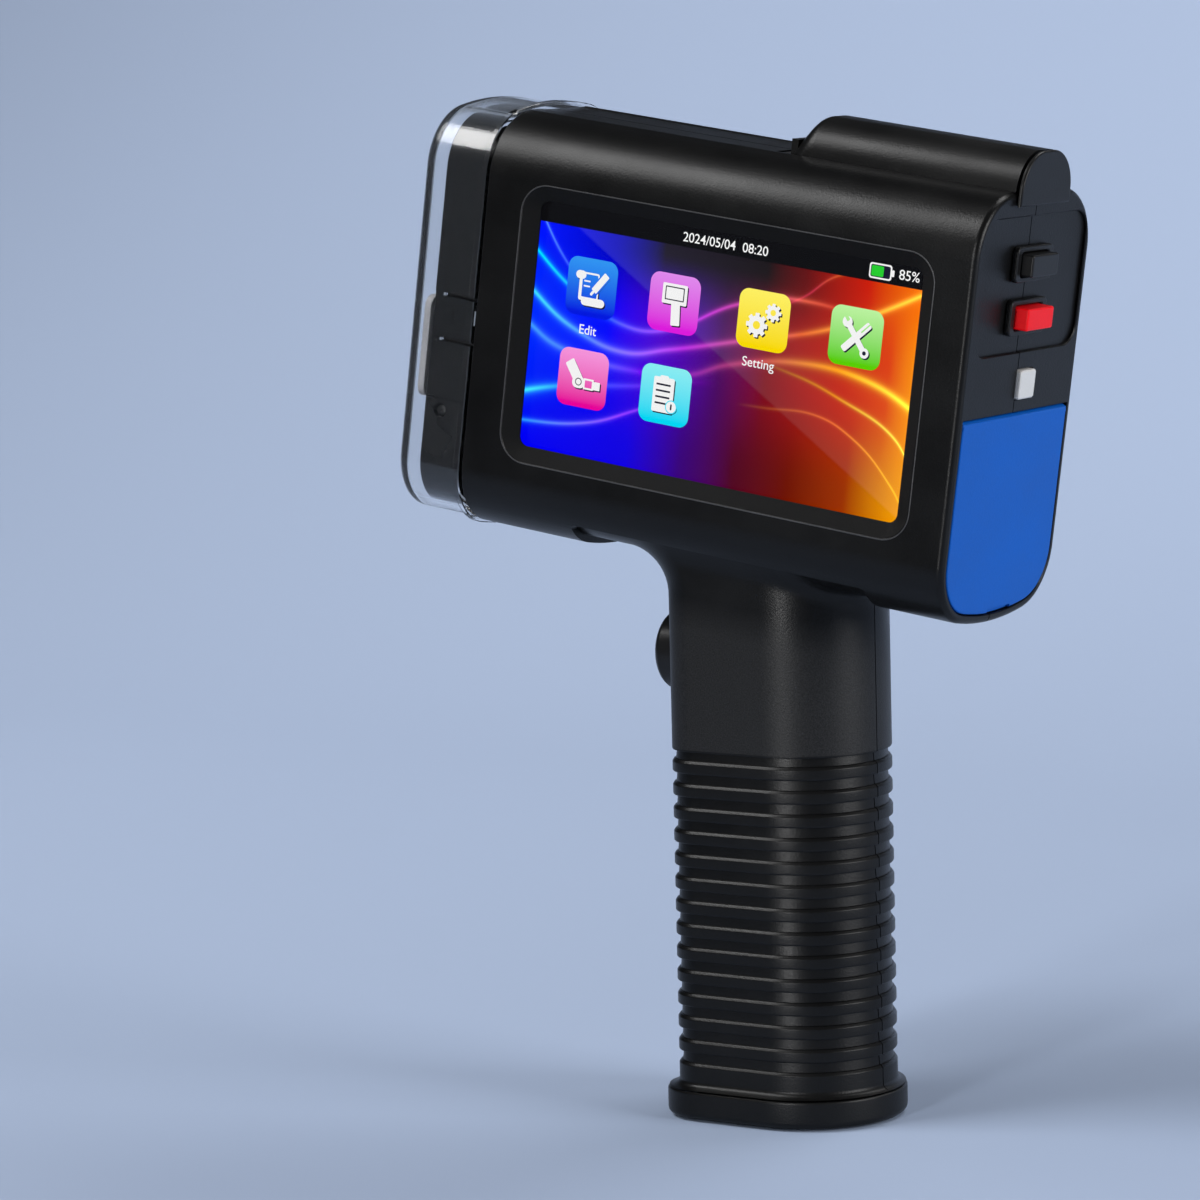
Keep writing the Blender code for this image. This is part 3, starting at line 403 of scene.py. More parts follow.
class Form:
    """A solid drawn in millimetres on a plane, then placed in the model."""

    def __init__(self, plane: Plane, frame: Matrix) -> None:
        """Starts an empty solid on a plane in the head's or the grip's frame."""
        self.bm = bmesh.new()
        self.place = frame @ plane.value

    def skin(self, loops: Sequence[list[bmesh.types.BMEdge]]) -> "Form":
        """Closes a solid over loops of edges at rising heights.

        Args:
            loops: The loops' edges.

        Returns:
            The form itself.
        """
        for low, high in zip(loops, loops[1:]):
            bmesh.ops.bridge_loops(self.bm, edges=[*low, *high])
        for end in (loops[0], loops[-1]):
            bmesh.ops.contextual_create(self.bm, geom=end)
        return self

    def loft(self, levels: Sequence[tuple[Outline, float]]) -> "Form":
        """Adds a closed solid through outlines at rising heights."""
        return self.skin([outline.draw(self.bm, height) for outline, height in levels])

    def prism(self, outline: Outline, low: float, high: float) -> "Form":
        """Adds an outline run straight between two heights."""
        return self.loft([(outline, low), (outline, high)])

    def eased(
        self, outline: Outline, low: float, high: float, by: float, steps: int = 2
    ) -> "Form":
        """Adds a prism whose top edge is rounded.

        Args:
            outline: The outline at full size.
            low: Lower height.
            high: Upper height, where the rounding ends.
            by: Radius of the rounding.
            steps: Facets of the rounding.

        Returns:
            The form itself.
        """
        rounding = [(outline.grown(-by * a), high - by * (1 - b)) for a, b in quarter(steps)]
        return self.loft([(outline, low), *rounding])

    def opening(self, outline: Outline, low: float, face: float, lip: float = 0.22) -> "Form":
        """Adds a cutter whose mouth is chamfered where it leaves a flat face.

        Args:
            outline: The opening's outline.
            low: Depth at which the opening ends.
            face: Height of the face that it opens in.
            lip: Width of the chamfer.

        Returns:
            The form itself.
        """
        wide = outline.grown(lip)
        return self.loft([(outline, low), (outline, face - lip), (wide, face), (wide, face + 9)])

    def turned(self, profile: Sequence[Pair], centre: Sequence[float], sides: int) -> "Form":
        """Adds a solid of revolution about an upright axis of the plane.

        Args:
            profile: Radius and height of each point, from the axis back to the axis.
            centre: The axis in the drawing plane.
            sides: Number of facets.

        Returns:
            The form itself.
        """
        pen = Pen(self.bm, *profile[0])
        for point in profile[1:]:
            pen.line(*point)
        bmesh.ops.transform(self.bm, matrix=Plane.SIDE.value, verts=self.bm.verts)
        bmesh.ops.spin(
            self.bm,
            geom=[*self.bm.verts, *self.bm.edges],
            cent=(0, 0, 0),
            axis=(0, 0, 1),
            angle=2 * math.pi,
            steps=sides,
            use_merge=True,
            use_duplicate=False,
        )
        bmesh.ops.translate(self.bm, vec=(*centre, 0), verts=self.bm.verts)
        return self

    def block(self, low: Sequence[float], high: Sequence[float]) -> "Form":
        """Adds a block between two corners.

        Args:
            low: The lowest corner.
            high: The highest corner.

        Returns:
            The form itself.
        """
        bmesh.ops.create_cube(self.bm, size=1)
        size = Vector(high) - Vector(low)
        bmesh.ops.scale(self.bm, vec=size, verts=self.bm.verts)
        bmesh.ops.translate(self.bm, vec=Vector(low) + size / 2, verts=self.bm.verts)
        return self

    def ball_edged(self, angle: float, offset: float, segments: int) -> "Form":
        """Rounds every edge that is sharper than an angle.

        Args:
            angle: The angle in degrees.
            offset: Size of the rounding.
            segments: Facets of the rounding.

        Returns:
            The form itself.
        """
        self.tidy()
        least = math.radians(angle)
        sharp = [e for e in self.bm.edges if e.is_manifold and e.calc_face_angle(0) > least]
        bmesh.ops.bevel(
            self.bm,
            geom=sharp,
            offset=offset,
            segments=segments,
            profile=0.5,
            affect="EDGES",
            material=-1,
        )
        return self

    def tidy(self) -> None:
        """Merges doubles and turns the faces outwards."""
        bmesh.ops.remove_doubles(self.bm, verts=self.bm.verts, dist=1e-4)
        bmesh.ops.recalc_face_normals(self.bm, faces=self.bm.faces)

    def piece(self, name: str) -> bpy.types.Object:
        """Makes the placed object.

        Args:
            name: Name of the piece.

        Returns:
            The new object.
        """
        self.tidy()
        bmesh.ops.transform(self.bm, matrix=self.place, verts=self.bm.verts)
        mesh = bpy.data.meshes.new(name)
        self.bm.to_mesh(mesh)
        self.bm.free()
        return linked(name, mesh)


def linked(name: str, data: bpy.types.ID) -> bpy.types.Object:
    """Adds an object to the scene.

    Args:
        name: Its name.
        data: Its mesh, curve, light or camera.

    Returns:
        The object.
    """
    item = bpy.data.objects.new(name, data)
    bpy.context.scene.collection.objects.link(item)
    return item


def rod(
    frame: Matrix, plane: Plane, centre: Sequence[float], low: float, high: float, radius: float
) -> bpy.types.Object:
    """A plain cylinder used to join or to cut.

    Args:
        frame: The head's or the grip's frame.
        plane: Drawing plane.
        centre: Its axis in the plane.
        low: Lower end.
        high: Upper end.
        radius: Its radius.

    Returns:
        The cylinder.
    """
    profile = ((0, low), (radius, low), (radius, high), (0, high))
    return Form(plane, frame).turned(profile, centre, 28).piece("rod")


def block(low: Sequence[float], high: Sequence[float], frame: Matrix) -> bpy.types.Object:
    """A block between two corners, used to join or to cut."""
    return Form(Plane.LEVEL, frame).block(low, high).piece("block")


class Act(Enum):
    """What a Boolean does with its tools."""

    JOIN = "UNION"
    CUT = "DIFFERENCE"
    KEEP = "INTERSECT"


def shape(
    item: bpy.types.Object, *steps: tuple[Act, Sequence[bpy.types.Object]]
) -> bpy.types.Object:
    """Runs exact Booleans on a piece and removes their tools.

    Args:
        item: The piece to shape.
        *steps: Acts in order, each with its tools.

    Returns:
        The same piece with its final mesh.
    """
    for act, tools in steps:
        group = bpy.data.collections.new("tools")
        for tool in tools:
            group.objects.link(tool)
        modifier = item.modifiers.new(act.name, "BOOLEAN")
        modifier.operation = act.value
        modifier.solver = "EXACT"
        if len(tools) == 1:
            modifier.object = tools[0]
        else:
            modifier.operand_type = "COLLECTION"
            modifier.collection = group
        mesh = final_mesh(item)
        item.modifiers.clear()
        item.data = mesh
        bpy.data.collections.remove(group)
        for tool in tools:
            bpy.data.objects.remove(tool)
    return item


def final_mesh(item: bpy.types.Object) -> bpy.types.Mesh:
    """The mesh that an object's modifiers or its curve make.

    Args:
        item: The object.

    Returns:
        A new mesh.
    """
    bpy.context.view_layer.update()
    seen = item.evaluated_get(bpy.context.evaluated_depsgraph_get())
    return bpy.data.meshes.new_from_object(seen)


def from_curve(name: str, curve: bpy.types.Curve, place: Matrix) -> bpy.types.Object:
    """Makes a curve or a word a placed piece.

    Args:
        name: Name of the piece.
        curve: The curve, in millimetres.
        place: Where it goes.

    Returns:
        The piece.
    """
    carrier = linked(name + "_line", curve)
    mesh = final_mesh(carrier)
    bpy.data.objects.remove(carrier)
    mesh.transform(place)
    return linked(name, mesh)


def settle(item: bpy.types.Object, sharp: float = 32.0) -> bpy.types.Object:
    """Cleans a finished mesh and shades it by its angles.

    Args:
        item: The finished piece.
        sharp: Angle in degrees from which an edge stays crisp.

    Returns:
        The same piece.
    """
    bm = bmesh.new()
    bm.from_mesh(item.data)
    bmesh.ops.remove_doubles(bm, verts=bm.verts, dist=2e-6)
    bmesh.ops.dissolve_degenerate(bm, edges=bm.edges, dist=1e-6)
    bmesh.ops.recalc_face_normals(bm, faces=bm.faces)
    bm.to_mesh(item.data)
    bm.free()
    item.data.shade_smooth()
    item.data.set_sharp_from_angle(angle=math.radians(sharp))
    item.modifiers.new("even_shading", "WEIGHTED_NORMAL").keep_sharp = True
    return item



# ------------------------------------------------------------------ materials


class Sheet:
    """A material's node tree, built link by link."""

    def __init__(self, tree: bpy.types.NodeTree) -> None:
        """Takes the tree to build in."""
        self.tree = tree

    def feed(self, node: bpy.types.Node, **inputs: object) -> bpy.types.Node:
        """Sets or links a node's inputs.

        Args:
            node: The node.
            **inputs: Values or sockets by input name, with _ for a space, or i and a number.

        Returns:
            The same node.
        """
        for key, value in inputs.items():
            target = node.inputs[int(key[1:]) if key[1:].isdigit() else key.replace("_", " ")]
            if isinstance(value, bpy.types.NodeSocket):
                self.tree.links.new(value, target)
            else:
                target.default_value = value
        return node

    def add(self, kind: str, settings: dict | None = None, **inputs: object) -> bpy.types.Node:
        """Adds a node.

        Args:
            kind: The node's type, without its ShaderNode prefix.
            settings: Properties of the node.
            **inputs: Values or sockets for its inputs.

        Returns:
            The node.
        """
        node = self.tree.nodes.new("ShaderNode" + kind)
        for key, value in (settings or {}).items():
            setattr(node, key, value)
        return self.feed(node, **inputs)

    def math(self, operation: str, first: object, second: object = 0.0) -> bpy.types.NodeSocket:
        """A Math node's result."""
        return self.add("Math", {"operation": operation}, i0=first, i1=second).outputs[0]

    def sum(self, first: object, second: object) -> bpy.types.NodeSocket:
        """Two colours added."""
        return self.add("VectorMath", {"operation": "ADD"}, i0=first, i1=second).outputs[0]

    def mix(self, share: object, first: object, second: object) -> bpy.types.NodeSocket:
        """Two colours mixed."""
        return self.add("Mix", {"data_type": "RGBA"}, i0=share, i6=first, i7=second).outputs[2]

    def span(self, value: object, *ends: float, **settings: str) -> bpy.types.NodeSocket:
        """A value carried from one span to another.

        Args:
            value: What drives it.
            *ends: The span's ends, then the new span's ends where that isn't 0 to 1.
            **settings: Properties of the node.

        Returns:
            The new value.
        """
        named = {f"i{i + 1}": end for i, end in enumerate(ends)}
        return self.add("MapRange", settings, Value=value, **named).outputs[0]

    def ramp(
        self, factor: bpy.types.NodeSocket, stops: Sequence[tuple[float, Sequence[float]]]
    ) -> bpy.types.NodeSocket:
        """A colour ramp's colour.

        Args:
            factor: What drives it.
            stops: Positions with linear colours.

        Returns:
            The colour socket.
        """
        node = self.add("ValToRGB", Fac=factor)
        elements = node.color_ramp.elements
        while len(elements) < len(stops):
            elements.new(0.5)
        for element, (position, colour) in zip(elements, stops):
            element.position = position
            element.color = (*colour, 1.0)
        return node.outputs["Color"]

    def head_place(self, coords: bpy.types.NodeSocket) -> bpy.types.NodeOutputs:
        """Object coordinates as millimetres in the head's frame: X along, Z up.

        Args:
            coords: The object coordinates.

        Returns:
            The separate coordinates.
        """
        turn, scale = (0.0, TILT, 0.0), (MM, MM, MM)
        kind = {"vector_type": "TEXTURE"}
        place = HEAD_ORIGIN * MM
        put = self.add("Mapping", kind, Vector=coords, Location=place, Rotation=turn, Scale=scale)
        return self.add("SeparateXYZ", Vector=put.outputs[0]).outputs


def new_group(
    name: str, takes: Sequence[str], gives: Sequence[str]
) -> tuple[Sheet, bpy.types.NodeOutputs, bpy.types.Node]:
    """Starts a shader node group.

    Args:
        name: Its name.
        takes: Names of its number inputs, besides the vector.
        gives: Names of its outputs.

    Returns:
        Its sheet, its input sockets and its output node.
    """
    tree = bpy.data.node_groups.new(name, "ShaderNodeTree")
    tree.interface.new_socket("Vector", in_out="INPUT", socket_type="NodeSocketVector")
    for way, names in (("INPUT", takes), ("OUTPUT", gives)):
        for title in names:
            tree.interface.new_socket(title, in_out=way, socket_type="NodeSocketFloat")
    come, go = tree.nodes.new("NodeGroupInput"), tree.nodes.new("NodeGroupOutput")
    return Sheet(tree), come.outputs, go


def grain_group() -> bpy.types.NodeTree:
    """Fine moulded grain, and a slow drift of gloss over a surface.

    Returns:
        The group.
    """
    sheet, come, go = new_group("moulded_grain", ("Scale",), ("Height", "Drift", "Speckle"))
    vector, scale = come["Vector"], come["Scale"]
    fine = sheet.add("TexNoise", Vector=vector, Scale=scale, Detail=3.0, Roughness=0.6)
    wide = sheet.math("MULTIPLY", scale, 0.7)
    pits = sheet.add("TexVoronoi", {"feature": "SMOOTH_F1"}, Vector=vector, Scale=wide)
    slow = sheet.add("TexNoise", Vector=vector, Scale=42.0, Detail=4.0, Roughness=0.55)
    pitted = sheet.math("MULTIPLY", pits.outputs["Distance"], 0.7)
    height = sheet.math("ADD", fine.outputs["Fac"], pitted)
    sheet.feed(go, Height=height, Drift=slow.outputs["Fac"], Speckle=fine.outputs["Fac"])
    return sheet.tree


def brushed_group() -> bpy.types.NodeTree:
    """Drawn metal: fine lines in one direction with a varying gloss.

    Returns:
        The group.
    """
    sheet, come, go = new_group("brushed", (), ("Height", "Gloss"))
    drawn = sheet.add("Mapping", Vector=come["Vector"], Scale=(4000.0, 4000.0, 160.0))
    lines = sheet.add("TexNoise", Vector=drawn.outputs[0], Scale=1.0, Detail=2.0)
    blot = sheet.add("TexNoise", Vector=come["Vector"], Scale=180.0, Detail=3.0)
    gloss = sheet.span(blot.outputs["Fac"], 0.0, 1.0, 0.22, 0.42)
    sheet.feed(go, Height=lines.outputs["Fac"], Gloss=gloss)
    return sheet.tree


def scaled(colour: Colour, by: float) -> Colour:
    """A colour made lighter or darker."""
    return tuple(min(1.0, part * by) for part in colour)


@dataclass(frozen=True)
class Finish:
    """A finish with the settings that every material has."""

    name: str
    colour: Colour
    roughness: float = 0.45
    specular: float = 0.3

    @property
    def title(self) -> str:
        """Name of the finish's material."""
        return "finish_" + self.name

    def start(self) -> tuple[Sheet, bpy.types.Node, bpy.types.NodeSocket]:
        """Makes the material with its plain values.

        Returns:
            The sheet, the shader and the object coordinates.
        """
        material = bpy.data.materials.new(self.title)
        material.use_nodes = True
        material.diffuse_color = (*self.colour, 1.0)
        sheet = Sheet(material.node_tree)
        shader = material.node_tree.nodes["Principled BSDF"]
        sheet.feed(
            shader,
            Base_Color=(*self.colour, 1.0),
            Roughness=self.roughness,
            Specular_IOR_Level=self.specular,
        )
        return sheet, shader, sheet.add("TexCoord").outputs["Object"]

    def material(self) -> bpy.types.Material:
        """The finish's material, made on first use."""
        if self.title not in bpy.data.materials:
            self.make()
        return bpy.data.materials[self.title]

    def make(self) -> None:
        """Builds the material."""
        raise NotImplementedError


@dataclass(frozen=True)
class Moulded(Finish):
    """Moulded plastic or rubber with a fine grain."""

    grain: float = 2200.0
    depth: float = 0.35
    lift: float = 0.35
    drift: float = 0.05
    bump: float = 0.00006

    def make(self) -> None:
        """Builds grain in the normal, and drift in the colour and the gloss."""
        sheet, shader, coords = self.start()
        group = bpy.data.node_groups.get("moulded_grain") or grain_group()
        grain = sheet.add("Group", {"node_tree": group}, Vector=coords, Scale=self.grain).outputs
        slow = sheet.math("MULTIPLY", grain["Drift"], 0.6)
        fine = sheet.math("MULTIPLY", grain["Speckle"], 0.4)
        ends = ((0.3, 1 - self.lift), (0.7, 1 + self.lift))
        stops = [(at, scaled(self.colour, by)) for at, by in ends]
        colour = sheet.ramp(sheet.math("ADD", slow, fine), stops)
        low, high = self.roughness - self.drift, self.roughness + self.drift
        gloss = sheet.span(grain["Drift"], 0.3, 0.7, low, high)
        bump = sheet.add("Bump", Strength=self.depth, Distance=self.bump, Height=grain["Height"])
        sheet.feed(shader, Base_Color=colour, Roughness=gloss, Normal=bump.outputs[0])


@dataclass(frozen=True)
class Textured(Moulded):
    """Moulded plastic with a matt zone between two heights: the grip's plain neck."""

    line: float = -53.0
    blend: float = 7.0
    low: float = 0.0815
    matt: Colour = (0.013, 0.013, 0.0133)
    rough: float = 0.42

    def make(self) -> None:
        """Adds the matt zone to the moulded finish."""
        super().make()
        tree = bpy.data.materials[self.title].node_tree
        sheet, shader = Sheet(tree), tree.nodes["Principled BSDF"]
        coords = sheet.add("TexCoord").outputs["Object"]
        under = sheet.span(sheet.head_place(coords)["Z"], self.line, self.line - self.blend)
        height = sheet.add("SeparateXYZ", Vector=coords).outputs["Z"]
        zone = sheet.math("MULTIPLY", under, sheet.math("GREATER_THAN", height, self.low))
        group = bpy.data.node_groups["moulded_grain"]
        grain = sheet.add("Group", {"node_tree": group}, Vector=coords, Scale=self.grain)
        stops = ((0.36, scaled(self.matt, 0.6)), (0.66, scaled(self.matt, 1.5)))
        speckle = sheet.ramp(grain.outputs["Speckle"], stops)
        plain, gloss = (shader.inputs[k].links[0].from_socket for k in ("Base Color", "Roughness"))
        rough = sheet.add("Mix", Factor=zone, i2=gloss, i3=self.rough).outputs[0]
        sheet.feed(shader, Base_Color=sheet.mix(zone, plain, speckle), Roughness=rough)


@dataclass(frozen=True)
class Clear(Finish):
    """Clear moulded plastic or glass."""

    ior: float = 1.49
    shade: float = 0.15
    frost: float = 0.0
    frost_line: float = -73.1

    def make(self) -> None:
        """Builds a clear body that lets the lamps' light through to what is behind it."""
        sheet, shader, coords = self.start()
        haze = sheet.add("TexNoise", Vector=coords, Scale=90.0, Detail=3.0)
        gloss = sheet.span(haze.outputs["Fac"], 0.0, 1.0, self.roughness, self.roughness + 0.03)
        ahead = sheet.math("LESS_THAN", sheet.head_place(coords)["X"], self.frost_line)
        gloss = sheet.math("ADD", gloss, sheet.math("MULTIPLY", ahead, self.frost))
        shadow = sheet.add("LightPath").outputs["Is Shadow Ray"]
        alpha = sheet.math("SUBTRACT", 1.0, sheet.math("MULTIPLY", shadow, 1 - self.shade))
        sheet.feed(shader, Transmission_Weight=1.0, IOR=self.ior, Roughness=gloss, Alpha=alpha)


@dataclass(frozen=True)
class Metal(Finish):
    """Drawn or plated metal."""

    def make(self) -> None:
        """Builds fine drawn lines and a varying gloss."""
        sheet, shader, coords = self.start()
        group = bpy.data.node_groups.get("brushed") or brushed_group()
        drawn = sheet.add("Group", {"node_tree": group}, Vector=coords).outputs
        bump = sheet.add("Bump", Strength=0.15, Distance=0.00003, Height=drawn["Height"])
        sheet.feed(shader, Metallic=1.0, Roughness=drawn["Gloss"], Normal=bump.outputs[0])


@dataclass(frozen=True)
class Laminate(Finish):
    """A circuit board's solder mask over its copper tracks."""

    plating: Colour = (0.5, 0.45, 0.3)

    def make(self) -> None:
        """Builds straight tracks and plated dots under a green mask."""
        sheet, shader, coords = self.start()
        square = {"distance": "CHEBYCHEV"}
        cells = sheet.add("TexVoronoi", square, Vector=coords, Scale=420.0, Randomness=0.6)
        stops = ((0.3, self.colour), (0.34, scaled(self.colour, 1.7)))
        track = sheet.ramp(cells.outputs["Distance"], stops)
        dots = sheet.add("TexVoronoi", Vector=coords, Scale=260.0)
        pad = sheet.math("LESS_THAN", dots.outputs["Distance"], 0.16)
        colour = sheet.mix(pad, track, (*self.plating, 1.0))
        sheet.feed(shader, Base_Color=colour, Metallic=sheet.math("MULTIPLY", pad, 0.9))


@dataclass(frozen=True)
class Lit(Finish):
    """A lit colour of the screen, which may run from one colour to another going up."""

    specular: float = 0.0
    upper: Colour | None = None
    base: float = 0.0
    rise: float = 1.0

    def make(self) -> None:
        """Builds the glowing colour over a black body."""
        sheet, shader, coords = self.start()
        colour = self.glow(sheet, sheet.head_place(coords))
        sheet.feed(shader, Base_Color=(0, 0, 0, 1), Emission_Color=colour, Emission_Strength=1.0)

    def glow(self, sheet: Sheet, place: bpy.types.NodeOutputs) -> bpy.types.NodeSocket:
        """The colour that is lit at a place.

        Args:
            sheet: The sheet to add to.
            place: Coordinates in the head's frame.

        Returns:
            The colour.
        """
        level = sheet.span(place["Z"], self.base, self.base + self.rise)
        return sheet.ramp(level, ((0.0, self.colour), (1.0, self.upper or self.colour)))


@dataclass(frozen=True)
class Streak:
    """One curved ribbon of light in the wallpaper.

    Its width is a share of the screen's height, its path goes through points across and
    down the screen from 0 to 1, and its colours stand at positions across.
    """

    width: float
    path: Sequence[Pair]
    colours: Sequence[tuple[float, Colour]]
    fade: float = 1.6

    def paint(
        self, sheet: Sheet, across: bpy.types.NodeSocket, down: bpy.types.NodeSocket
    ) -> bpy.types.NodeSocket:
        """Adds the ribbon's nodes.

        Args:
            sheet: The sheet to add to.
            across: Position across the screen.
            down: Position down the screen.

        Returns:
            Its colour.
        """
        curve = sheet.add("FloatCurve", Value=across)
        points = curve.mapping.curves[0].points
        points[0].location, points[-1].location = self.path[0], self.path[-1]
        for x, y in self.path[1:-1]:
            points.new(x, y)
        curve.mapping.update()
        away = sheet.math("SUBTRACT", down, curve.outputs[0])
        away = sheet.math("DIVIDE", away, self.width)
        spread = sheet.math("ADD", sheet.math("MULTIPLY", away, away), 1.0)
        glow = sheet.math("POWER", sheet.math("DIVIDE", 1.0, spread), self.fade)
        colour = sheet.ramp(across, self.colours)
        return sheet.add("VectorMath", {"operation": "SCALE"}, i0=colour, Scale=glow).outputs[0]


@dataclass(frozen=True)
class Wallpaper(Lit):
    """The screen's background: soft colours from blue to orange with ribbons of light."""

    width: float = 95.0
    height: float = 53.9

    def glow(self, sheet: Sheet, place: bpy.types.NodeOutputs) -> bpy.types.NodeSocket:
        """Builds three rows of colour, the ribbons and a painted reflection: a soft diagonal glare
        of the cover glass, added into the picture's glow.

        Args:
            sheet: The sheet to add to.
            place: Coordinates in the head's frame.

        Returns:
            The colour.
        """
        across = sheet.math("ADD", sheet.math("DIVIDE", place["X"], self.width), 0.5)
        down = sheet.math("SUBTRACT", 0.5, sheet.math("DIVIDE", place["Z"], self.height))
        colour, *rows = [sheet.ramp(across, stops) for stops in ROWS]
        for row, ends in zip(rows, ((0.12, 0.42), (0.5, 0.95))):
            share = sheet.span(down, *ends, interpolation_type="SMOOTHSTEP")
            colour = sheet.mix(share, colour, row)
        for streak in STREAKS:
            colour = sheet.sum(colour, streak.paint(sheet, across, down))
        # Painted reflection: a soft lighter wedge on one side of a diagonal, standing in for glare
        # on the cover glass.
        slant = sheet.math("SUBTRACT", across, down)
        edge = sheet.span(slant, 0.0, 0.012)
        painted_glare = sheet.math("MULTIPLY", edge, sheet.span(slant, 0.03, 0.8, 0.018, 0.001))
        return sheet.sum(colour, sheet.add("CombineXYZ", X=painted_glare, Y=painted_glare, Z=painted_glare).outputs[0])




ROWS = (
    (
        (0.0, (0.0, 0.006, 1.0)),
        (0.2, (0.0, 0.0, 0.5)),
        (0.33, (0.004, 0.001, 0.014)),
        (0.6, (0.004, 0.001, 0.003)),
        (0.7, (0.12, 0.001, 0.002)),
        (0.86, (0.6, 0.01, 0.0)),
        (1.0, (1.0, 0.18, 0.0)),
    ),
    (
        (0.0, (0.0, 0.02, 1.0)),
        (0.2, (0.0, 0.0, 0.98)),
        (0.34, (0.07, 0.0, 0.6)),
        (0.5, (0.07, 0.002, 0.12)),
        (0.62, (0.22, 0.003, 0.012)),
        (0.82, (0.55, 0.012, 0.0)),
        (0.93, (0.72, 0.045, 0.0)),
        (1.0, (1.0, 0.3, 0.0)),
    ),
    (
        (0.0, (0.0, 0.0, 0.93)),
        (0.28, (0.005, 0.0, 0.75)),
        (0.42, (0.04, 0.0, 0.2)),
        (0.56, (0.08, 0.001, 0.015)),
        (0.7, (0.15, 0.005, 0.0)),
        (0.85, (0.32, 0.03, 0.0)),
        (1.0, (0.95, 0.36, 0.0)),
    ),
)

BLACK = (0.0, 0.0, 0.0)
STREAKS = (
    Streak(
        0.00992,
        (
            *((0, 0.22), (0.12, 0.36), (0.25, 0.446), (0.33, 0.44)),
            *((0.53, 0.275), (0.65, 0.216), (1, 0.3)),
        ),
        (
            (0.0, (0.0, 0.8, 0.9)),
            (0.2, (0.03, 0.12, 0.4)),
            (0.45, (0.5, 0.03, 0.5)),
            (0.7, (0.6, 0.1, 0.05)),
            (0.85, BLACK),
        ),
    ),
    Streak(
        0.0124,
        (
            *((0, 0.385), (0.117, 0.5), (0.247, 0.55), (0.363, 0.505)),
            *((0.545, 0.417), (0.76, 0.31), (0.85, 0.24), (1, 0.1)),
        ),
        (
            (0.0, (0.05, 0.75, 0.7)),
            (0.15, (0.1, 0.25, 0.5)),
            (0.4, (0.45, 0.03, 0.4)),
            (0.7, (0.5, 0.12, 0.02)),
            (0.95, (0.6, 0.6, 0.05)),
        ),
    ),
    Streak(
        0.01488,
        (
            *((0, 0.52), (0.075, 0.58), (0.3, 0.615), (0.42, 0.59)),
            *((0.52, 0.52), (0.705, 0.457), (0.868, 0.474), (1, 0.56)),
        ),
        (
            (0.0, (0.05, 0.3, 0.4)),
            (0.3, (0.12, 0.0, 0.2)),
            (0.6, (0.35, 0.05, 0.06)),
            (0.8, (0.5, 0.35, 0.0)),
            (0.97, (0.6, 0.9, 0.05)),
        ),
    ),
    Streak(
        0.00682,
        ((0, 0.4), (0.7, 0.51), (0.82, 0.57), (0.945, 0.658), (1, 0.76)),
        ((0.6, BLACK), (0.8, (0.3, 0.25, 0.0)), (1.0, (0.4, 0.9, 0.1))),
    ),
    Streak(
        0.00558,
        ((0, 0.7), (0.62, 0.66), (0.76, 0.649), (0.85, 0.704), (0.965, 0.866), (1, 0.95)),
        ((0.55, BLACK), (0.8, (0.4, 0.12, 0.02)), (0.97, (0.4, 0.35, 0.02))),
    ),
    Streak(
        0.0124,
        ((0, 0.775), (0.085, 0.735), (0.3, 0.67), (0.5, 0.6), (1, 0.6)),
        (
            *((0.0, (0.05, 0.85, 0.6)), (0.12, (0.02, 0.1, 0.3))),
            *((0.35, (0.1, 0.0, 0.15)), (0.5, BLACK)),
        ),
    ),
    Streak(
        0.00744,
        ((0, 0.9), (0.165, 0.861), (0.3, 0.766), (0.45, 0.65), (1, 0.5)),
        ((0.0, (0.02, 0.3, 0.3)), (0.25, (0.3, 0.05, 0.4)), (0.45, BLACK)),
    ),
    Streak(
        0.00744,
        ((0, 0.07), (0.075, 0.24), (0.2, 0.42), (1, 0.9)),
        ((0.0, (0.1, 0.3, 0.5)), (0.1, (0.02, 0.05, 0.2)), (0.2, BLACK)),
    ),
    Streak(
        0.0062,
        ((0, 0.5), (0.6, 0.28), (0.69, 0.205), (0.78, 0.09), (1, 0.0)),
        ((0.55, BLACK), (0.72, (0.35, 0.02, 0.05)), (0.8, (0.3, 0.1, 0.0)), (0.85, BLACK)),
    ),
)

HOUSING = Moulded("housing_black", (0.005, 0.005, 0.0051), 0.35, 0.23, grain=3200.0, depth=0.4)
GRIP_SKIN = Textured("grip_skin", (0.004, 0.004, 0.0041), 0.34, 0.22, grain=3200.0, depth=0.4)
NOSE = Moulded("nose_gloss_black", (0.006,) * 3, 0.25, 0.22, grain=900.0, depth=0.05, lift=0.15)
SATIN = Moulded("satin_black", (0.008, 0.008, 0.0083), 0.38, 0.25, grain=2400.0, depth=0.25)
BEZEL = Moulded("bezel_black", (0.005, 0.005, 0.005), 0.75, 0.15, depth=0.1, lift=0.3)
# Painted highlight: a lighter grey for the thin line round the bezel, standing in for light caught
# on its edge.
EDGE_HIGHLIGHT = Moulded("painted_edge_highlight", (0.06, 0.06, 0.062), 0.3, 0.4, depth=0.1, lift=0.3)
BLACK_KEY = Moulded("black_key", (0.009, 0.009, 0.0095), 0.34, 0.25, depth=0.15)
RED_KEY = Moulded("red_key", (0.84, 0.003, 0.008), 0.35, 0.2, depth=0.08, lift=0.08)
GREY_KEY = Moulded("grey_key", (0.62, 0.62, 0.61), 0.45, 0.2, depth=0.2, lift=0.06)
BLUE_DOOR = Moulded("blue_door", (0.002, 0.095, 0.45), 0.45, 0.15, depth=0.3, lift=0.1)
SEAL = Moulded("seal_grey", (0.2, 0.2, 0.21), 0.6, 0.25, grain=1500.0, depth=0.3, lift=0.15)
RUBBER = Moulded("rubber_black", (0.02, 0.02, 0.02), 0.8, 0.2, grain=1400.0, depth=0.6)
LABEL = Moulded("bare_label", (0.78, 0.78, 0.77), 0.45, 0.3, grain=900.0, depth=0.06, lift=0.04)
